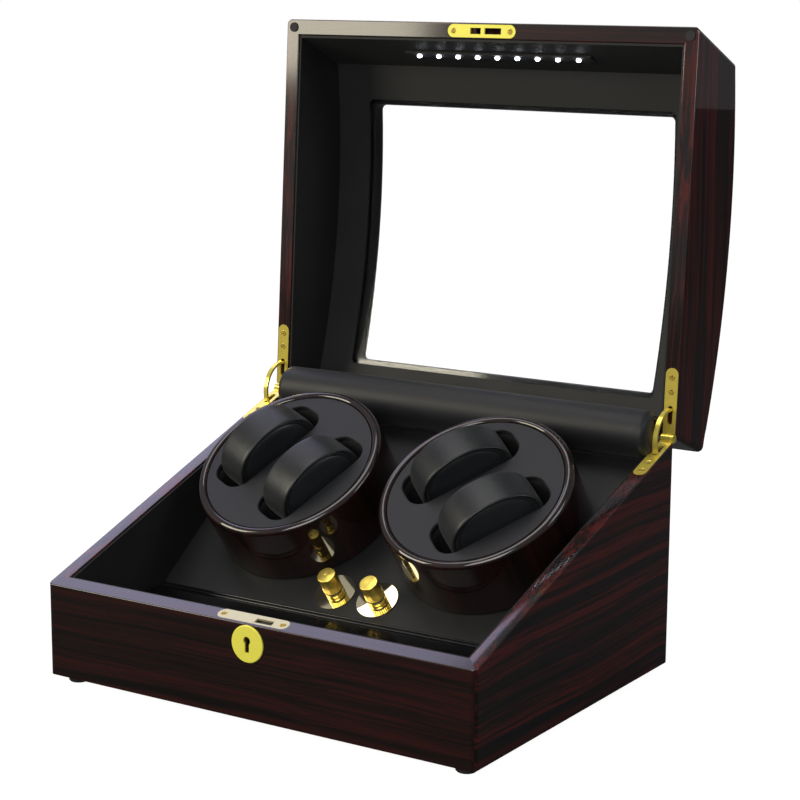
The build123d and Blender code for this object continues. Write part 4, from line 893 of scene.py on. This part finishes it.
def roll_points(steps=260, around=56):
    """Section: half a circle in front and a flat back; x runs along, the waves fade out at the ends."""
    x = np.linspace(ROLL_START, ROLL_END, steps)
    end = np.minimum(x - x[0], x[-1] - x) / (6 * MM)
    close = np.sqrt(1 - (1 - np.clip(end, 0, 1)) ** 2)
    angle = np.concatenate([bent(around), [QUARTER + 0.2, -QUARTER - 0.2]])
    along = (x - x[0]) / (x[-1] - x[0])
    tuck = TUCK * (np.sin(along * 41.0 + 0.7) * np.sin(along * 17.0) + 0.5 * np.sin(along * 73.0))
    radius = ROLL_RADIUS * (0.75 + 0.25 * close) - 0.5 * MM
    lower = np.clip(-np.sin(angle), 0, 1) ** 2
    reach = radius[:, None] + tuck[:, None] * lower[None]
    y = ROLL_BACK - np.maximum(np.cos(angle), 0)[None] * reach
    y[:, around:] = ROLL_BACK + 0.2 * MM
    z = ROLL_MIDDLE + np.sin(angle)[None] * reach
    z[:, around:] = ROLL_MIDDLE + np.sign(np.sin(angle[around:]))[None] * reach[:, around:] * 0.99
    # past the linings the roll lies on the side rims
    rim_height = (BASE_RIM_LEVEL - y * BASE_RIM[1]) / BASE_RIM[2] + 0.3 * MM
    beyond = (np.abs(x) > high.x + 0.4 * MM)[:, None]
    z = np.where(beyond, np.maximum(z, np.minimum(rim_height, ROLL_MIDDLE)), z)
    return np.stack([np.broadcast_to(x[:, None], y.shape), y, z], -1)


roll = surface("rear_roll", roll_points(), around=True, ends=True)
spots = points_of(roll.data)
held = (spots[:, 1] > ROLL_BACK - 1.5 * MM) | (spots[:, 0] > high.x - 2 * MM)
held |= spots[:, 0] < ROLL_START + 2 * MM
inflate(roll, held.astype(float), pressure=0.8, cap=0.5 * MM, shrink=0.01, rounds=14)
dress(roll, "base", "lining_leatherette", roll_leather, "rear_bolster")
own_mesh(roll)
print("roll made,", len(roll.data.vertices), "points")

# %% [markdown]
# The knobs are turned brass, gold-plated, with a fluted grip, a plain collar at the foot and a fine
# groove above it, which a black ring fills as painted shade.  The radius is a function of height and
# angle: the flutes are a cosine around the body, faded out at both ends of the grip.

# %% Knobs
KNOB_RADIUS = 6.8 * MM
KNOB_HEIGHT = 18.0 * MM
KNOB_FOOT = 1.3 * MM
FLUTES = 30
FLUTE_DEPTH = 0.28 * MM
GRIP_RADIUS = KNOB_RADIUS - 0.1 * MM
NECK_RADIUS = KNOB_RADIUS - 1.0 * MM
GRIP_FROM, GRIP_TO = 3.9 * MM, 16.4 * MM  # heights between which the flutes run
# a black ring in the knob's groove: painted shade of the groove
GROOVE_SHADE_RING = ((5.2, 2.05), (6.35, 2.15), (6.5, 2.6), (6.5, 3.5), (6.35, 3.95), (5.2, 4.05))


def knob_surface(angle):
    """Radius and height, with flutes of the depth times (1 - cos(n angle)) / 2 on the grip."""
    outline = [
        (0.0, 0.0),
        (KNOB_RADIUS, 0.0),
        (KNOB_RADIUS, 2.0 * MM),
        (NECK_RADIUS, 2.1 * MM),
        (NECK_RADIUS, 4.0 * MM),
        (GRIP_RADIUS, 4.1 * MM),
        (GRIP_RADIUS, 4.4 * MM),
        (GRIP_RADIUS, 15.6 * MM),
        (GRIP_RADIUS, KNOB_HEIGHT),
        (0.9 * MM, KNOB_HEIGHT),
        (0.0, KNOB_HEIGHT - 0.15 * MM),
    ]
    line = rounded(outline, (0.3 * MM, 0.05 * MM, 0, 0, 0.05 * MM, 0, 0, 0.7 * MM, 0.4 * MM), steps=6)
    radius, height = line[:, :1], line[:, 1:]
    grip = np.clip((height - GRIP_FROM) / (0.4 * MM), 0, 1) * np.clip((GRIP_TO - height) / (0.7 * MM), 0, 1)
    cut = FLUTE_DEPTH * (1 - np.cos(FLUTES * angle)) / 2
    return radius - grip * cut[None] * (radius > 5 * MM), height


for name in SIDES:
    base = np.array(joints[f"knob_{name}_turn"]["pos_m"]) + UP * KNOB_FOOT
    angle = full_turn(FLUTES * 8)
    radius, height = knob_surface(angle)
    knob = surface(f"selector_{name}", carried_round(radius, height, angle, base, UP), around=True)
    dress(knob, f"knob_{name}", "polished_gold", knob_gold, f"knob_{name}")
    # the ring's black is painted shade in the groove
    ring = turned(f"selector_groove_shade_{name}", np.array(GROOVE_SHADE_RING + GROOVE_SHADE_RING[:1]) * MM, base, steps=64)
    dress(ring, f"knob_{name}", "black_rubber", black_plastic)
print("knobs made")

# %% [markdown]
# The screws are let in, so in the construction model they melt into the plates.  On the real box each
# head is a small dish with a cross in it, and a dark line of shadow round it.  The head's height is a
# function of radius and angle: a shallow dome, less a cross whose arms fade out before the edge.

# %% Screws


def islands(name):
    """The separate solids of a construction node, each as an array of its points."""
    mesh = nodes[name].data
    ends = np.zeros(len(mesh.edges) * 2, dtype=int)
    mesh.edges.foreach_get("vertices", ends)
    points = points_of(mesh)
    # points in the same place belong together even where the mesh is split
    places, same = np.unique(points.round(6), axis=0, return_inverse=True)
    same = same.reshape(-1)
    ends = same[ends.reshape(-1, 2)]
    mark = np.arange(len(places))
    while True:
        least = np.minimum(mark[ends[:, 0]], mark[ends[:, 1]])
        new = mark.copy()
        np.minimum.at(new, ends[:, 0], least)
        np.minimum.at(new, ends[:, 1], least)
        if (new == mark).all():
            break
        mark = new
    group = mark[same]
    return [points[group == g] for g in np.unique(group)]


HEAD_RADIUS = 2.05 * MM
SHANK_RADIUS = 1.2 * MM
SCREW_LENGTH = 8.0 * MM
CROSS_ARM = 0.32 * MM
CROSS_DEPTH = 0.45 * MM
CROSS_REACH = 0.72  # share of the head's radius
DOME = 0.12 * MM
RIM_SCREWS_ABOVE = 30 * MM  # a screw higher than this is in a rim, and a lower one in a foot


def screw_surface(label, top, axis):
    """Head and shank of one screw: a dome 1 - r^4, less the cross; axis points out of the head."""
    angle = full_turn(64)
    radius = np.linspace(0.0, 1.0, 14)[:, None] * HEAD_RADIUS
    x, y = radius * np.cos(angle + 0.5), radius * np.sin(angle + 0.5)
    arm = np.minimum(np.abs(x), np.abs(y))
    reach = np.clip((CROSS_REACH * HEAD_RADIUS - radius) / (0.1 * HEAD_RADIUS), 0, 1)
    cross = np.clip(1.5 - arm / CROSS_ARM, 0, 1) * reach
    height = DOME * (1 - (radius / HEAD_RADIUS) ** 4) - CROSS_DEPTH * cross
    shank = [
        (HEAD_RADIUS, -0.15 * MM),
        (SHANK_RADIUS, -1.1 * MM),
        (SHANK_RADIUS, 0.3 * MM - SCREW_LENGTH),
        (0.0, -SCREW_LENGTH),
    ]
    below = np.repeat(np.array(shank)[:, :, None], len(angle), axis=2)
    radius = np.concatenate([np.broadcast_to(radius, height.shape), below[:, 0]])
    height = np.concatenate([height, below[:, 1]])
    return surface(label, carried_round(radius, height, angle, top, axis), around=True)


def set_screws(node, body, rim):
    """One new screw for each of a node's solids: in the rim, or upside down in a foot."""
    solids = islands(node)
    for count, points in enumerate(solids, start=1):
        axis = rim if points[:, 2].max() > RIM_SCREWS_ABOVE else np.array([0.0, 0.0, -1.0])
        level = (points @ axis).max()
        centre = (points.min(axis=0) + points.max(axis=0)) / 2
        top = centre + (level - centre @ axis) * axis
        piece = screw_surface(f"{node}_{count}", top, axis)
        dress(piece, body, "polished_gold", gold_screw)
        if count == 1:
            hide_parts(node)
    print(len(solids), "screws for", node)


set_screws("base_screws", "base", BASE_RIM)
set_screws("lid_screws", "lid", LID_RIM)

# %% [markdown]
# Each lamp on the strip is a small clear dome over a chip.  Domes in place of square blocks keep the
# light points small and round, as they look when they are lit.

# %% Lamps on the strip
LAMP_RADIUS = 1.75 * MM


def lamp_dome(label, centre):
    """A squashed ball: radius R around, 0.8 R high, seen as a dome above its strip."""
    profile = np.stack([LAMP_RADIUS * np.cos(bent(14)), 0.8 * LAMP_RADIUS * np.sin(bent(14))], -1)
    profile[[0, -1], 0] = 0.0
    return turned(label, profile, centre, axis=np.array([0.0, 0.0, 1.0]), steps=32)


chips = islands("led_chips")
for count, points in enumerate(chips, start=1):
    centre = (points.min(axis=0) + points.max(axis=0)) / 2
    dome = lamp_dome(f"lamp_{count}", centre)
    dress(dome, "lid", "led_light", lamp_white)
    if count == 1:
        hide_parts("led_chips")
print(len(chips), "lamps")

# %% [markdown]
# The deck's covering is turned over a double piping along its front edge.  It is two thin beads, and
# catches the light as a pair of fine lines.

# %% Piping along the deck's front edge
deck_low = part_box("deck_board")[0]
shelf_low, shelf_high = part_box("front_shelf")
PIPING_RADIUS = 0.8 * MM


def bead(label, y, z, x_from, x_to):
    """A straight round bead with domed ends, along x."""
    length = (x_to - x_from) / 2 - PIPING_RADIUS
    half = [(PIPING_RADIUS * math.cos(b), -length + PIPING_RADIUS * math.sin(b)) for b in bent(10)[:5]]
    half.append((PIPING_RADIUS, -length))
    profile = np.array(half + [(r, -h) for r, h in half[::-1]])
    profile[[0, -1], 0] = 0.0
    angle = full_turn(24)
    points = np.zeros((len(profile), len(angle), 3))
    points[..., 0] = (x_from + x_to) / 2 + profile[:, 1:]
    points[..., 1] = y + profile[:, :1] * np.cos(angle)
    points[..., 2] = z + profile[:, :1] * np.sin(angle)
    return surface(label, points, around=True)


DECK_RISE = SLOPEWARD[2] / SLOPEWARD[1]
for label, back in (("piping_upper", 1.2 * MM), ("piping_lower", -2.2 * MM)):
    height = shelf_high.z + 0.4 * MM + max(back, 0.0) * DECK_RISE
    line = bead(label, deck_low.y + back, height, shelf_low.x, shelf_high.x)
    dress(line, "base", "lining_leatherette", gloss_black)
print("piping made")

# %% [markdown]
# The studio: a pale floor that stays white to the camera, and keeps the shadow.  What the lacquer mirrors
# matters more, so polished surfaces see a dim backdrop, and the upright boards stay dark.

# %% Floor and world
BACKDROP_IN_GLOSS = 0.06  # how bright the polished surfaces see the backdrop
SHADOW_ZONE = 0.5  # metres from the box in which the floor is left to show a soft shadow
SHADOW_LIFT = 0.95  # how white the floor shines of itself under the box
FLOOR_REACH = 6.0  # metres
ROOM = (0.16, 0.165, 0.18, 1.0)


def seen_by_camera(f, light):
    """1 for what the camera sees, directly or through the pane, and 0 for the rest."""
    direct = f.math("LESS_THAN", light["Glossy Depth"], 0.5)
    through = f.math("MULTIPLY", light["Is Transmission Ray"], direct)
    return f.math("MAXIMUM", light["Is Camera Ray"], through)


def pale_floor():
    """A wide floor, dark grey to the lamps, and lifted to white for the camera and through glass."""
    grid = np.zeros((2, 2, 3))
    ends = [-FLOOR_REACH, FLOOR_REACH]
    grid[..., 0], grid[..., 1] = np.meshgrid(ends, ends, indexing="ij")
    floor = surface("floor", grid)
    f = Finish("floor_pale")
    coords = surface_place(f)
    grey = f.ramp(f.noise(coords, 3.0, 2.0), [(0.3, (0.13, 0.13, 0.13)), (0.7, (0.15, 0.15, 0.15))])
    seen = seen_by_camera(f, f.add("LightPath").outputs)
    away = f.math("DIVIDE", f.vector("LENGTH", coords), SHADOW_ZONE)
    lift = f.math("ADD", f.math("MULTIPLY", away, 1.0 - SHADOW_LIFT), SHADOW_LIFT)
    lift = f.math("MINIMUM", lift, 1.0)
    f.set(Base_Color=grey, Roughness=0.9, Specular_IOR_Level=0.0)
    f.set(Emission_Color=(1.0, 1.0, 1.0, 1.0), Emission_Strength=f.math("MULTIPLY", seen, lift))
    floor.data.materials.append(f.material)


def studio_world():
    """White to the camera and through glass; a dim, faintly cool room to everything else."""
    world = bpy.data.worlds.new("studio")
    f = Finish(world)
    light = f.add("LightPath").outputs
    mirrored = f.math("MULTIPLY", light["Is Glossy Ray"], BACKDROP_IN_GLOSS)
    share = f.math("MAXIMUM", seen_by_camera(f, light), mirrored)
    f.feed(f.tree.nodes["Background"].inputs["Color"], f.blend(share, ROOM, (1.0, 1.0, 1.0, 1.0)))
    bpy.context.scene.world = world


pale_floor()
studio_world()
print("floor and world made")

# %% [markdown]
# Five soft lamps.  The key stands at the front left, and its long mirror image runs along the drums'
# lips and the hardware.  A cool one high behind on the left gives the flat rims their lavender sheen.
# The others fill from above, the front and the right.

# %% Lamps


def soft_lamp(name, place, aim, size, colour, radiance):
    """A rectangular soft lamp at place, facing aim; radiance is what a mirror would show of it."""
    data = bpy.data.lights.new(name, "AREA")
    data.shape = "RECTANGLE"
    data.size, data.size_y = size
    data.color = colour
    data.energy = radiance * math.pi * size[0] * size[1]
    lamp = bpy.data.objects.new(name, data)
    bpy.context.scene.collection.objects.link(lamp)
    direction = Vector(aim) - Vector(place)
    lamp.rotation_euler = direction.to_track_quat("-Z", "Y").to_euler()
    lamp.location = place


soft_lamp("key_front_left", (-1.50, -1.40, 0.95), (0.0, 0.1, 0.2), (0.9, 0.9), (1.0, 0.93, 0.74), 8.0)
soft_lamp("cool_back_left", (-1.50, 0.85, 1.6), (-0.1, 0.0, 0.1), (1.1, 1.0), (0.70, 0.68, 1.0), 1.9)
soft_lamp("overhead", (-0.45, -0.35, 1.9), (0.0, 0.0, 0.1), (1.2, 0.9), (1.0, 0.99, 0.96), 2.6)
soft_lamp("front", (0.60, -2.30, 1.1), (0.0, 0.0, 0.2), (1.5, 1.2), (1.0, 0.99, 0.97), 4.8)
soft_lamp("right", (2.0, 0.1, 1.3), (0.0, 0.0, 0.2), (0.9, 0.9), (0.96, 0.97, 1.0), 3.0)
print("lamps placed")

# %% [markdown]
# The camera stands where the box is seen a little from the right and above, through a long lens, so the
# upright edges stay nearly parallel.

# %% Camera
VIEW_TURN = math.radians(33.22)
VIEW_DIP = math.radians(-11.61)
VIEW_ROLL = math.radians(-0.26)
CAMERA_FROM_FRONT = Vector((0.80866, -1.06893, 0.47297))

camera_data = bpy.data.cameras.new("camera")
camera_data.sensor_width = 36.0
camera_data.lens = 98.08
camera_data.shift_x = 0.0114
camera_data.shift_y = 0.0241
camera = bpy.data.objects.new("camera", camera_data)
bpy.context.scene.collection.objects.link(camera)
look = (
    Matrix.Rotation(VIEW_TURN, 4, "Z")
    @ Matrix.Rotation(VIEW_DIP, 4, "X")
    @ Matrix.Rotation(VIEW_ROLL, 4, "Y")
    @ Matrix.Rotation(QUARTER, 4, "X")
)
camera.matrix_world = Matrix.Translation(CAMERA_FROM_FRONT + Vector((0.0, FRONT_Y, UNDERSIDE))) @ look
bpy.context.scene.camera = camera
bpy.context.scene.view_settings.view_transform = "Standard"
print("camera at", [round(c, 3) for c in camera.location])
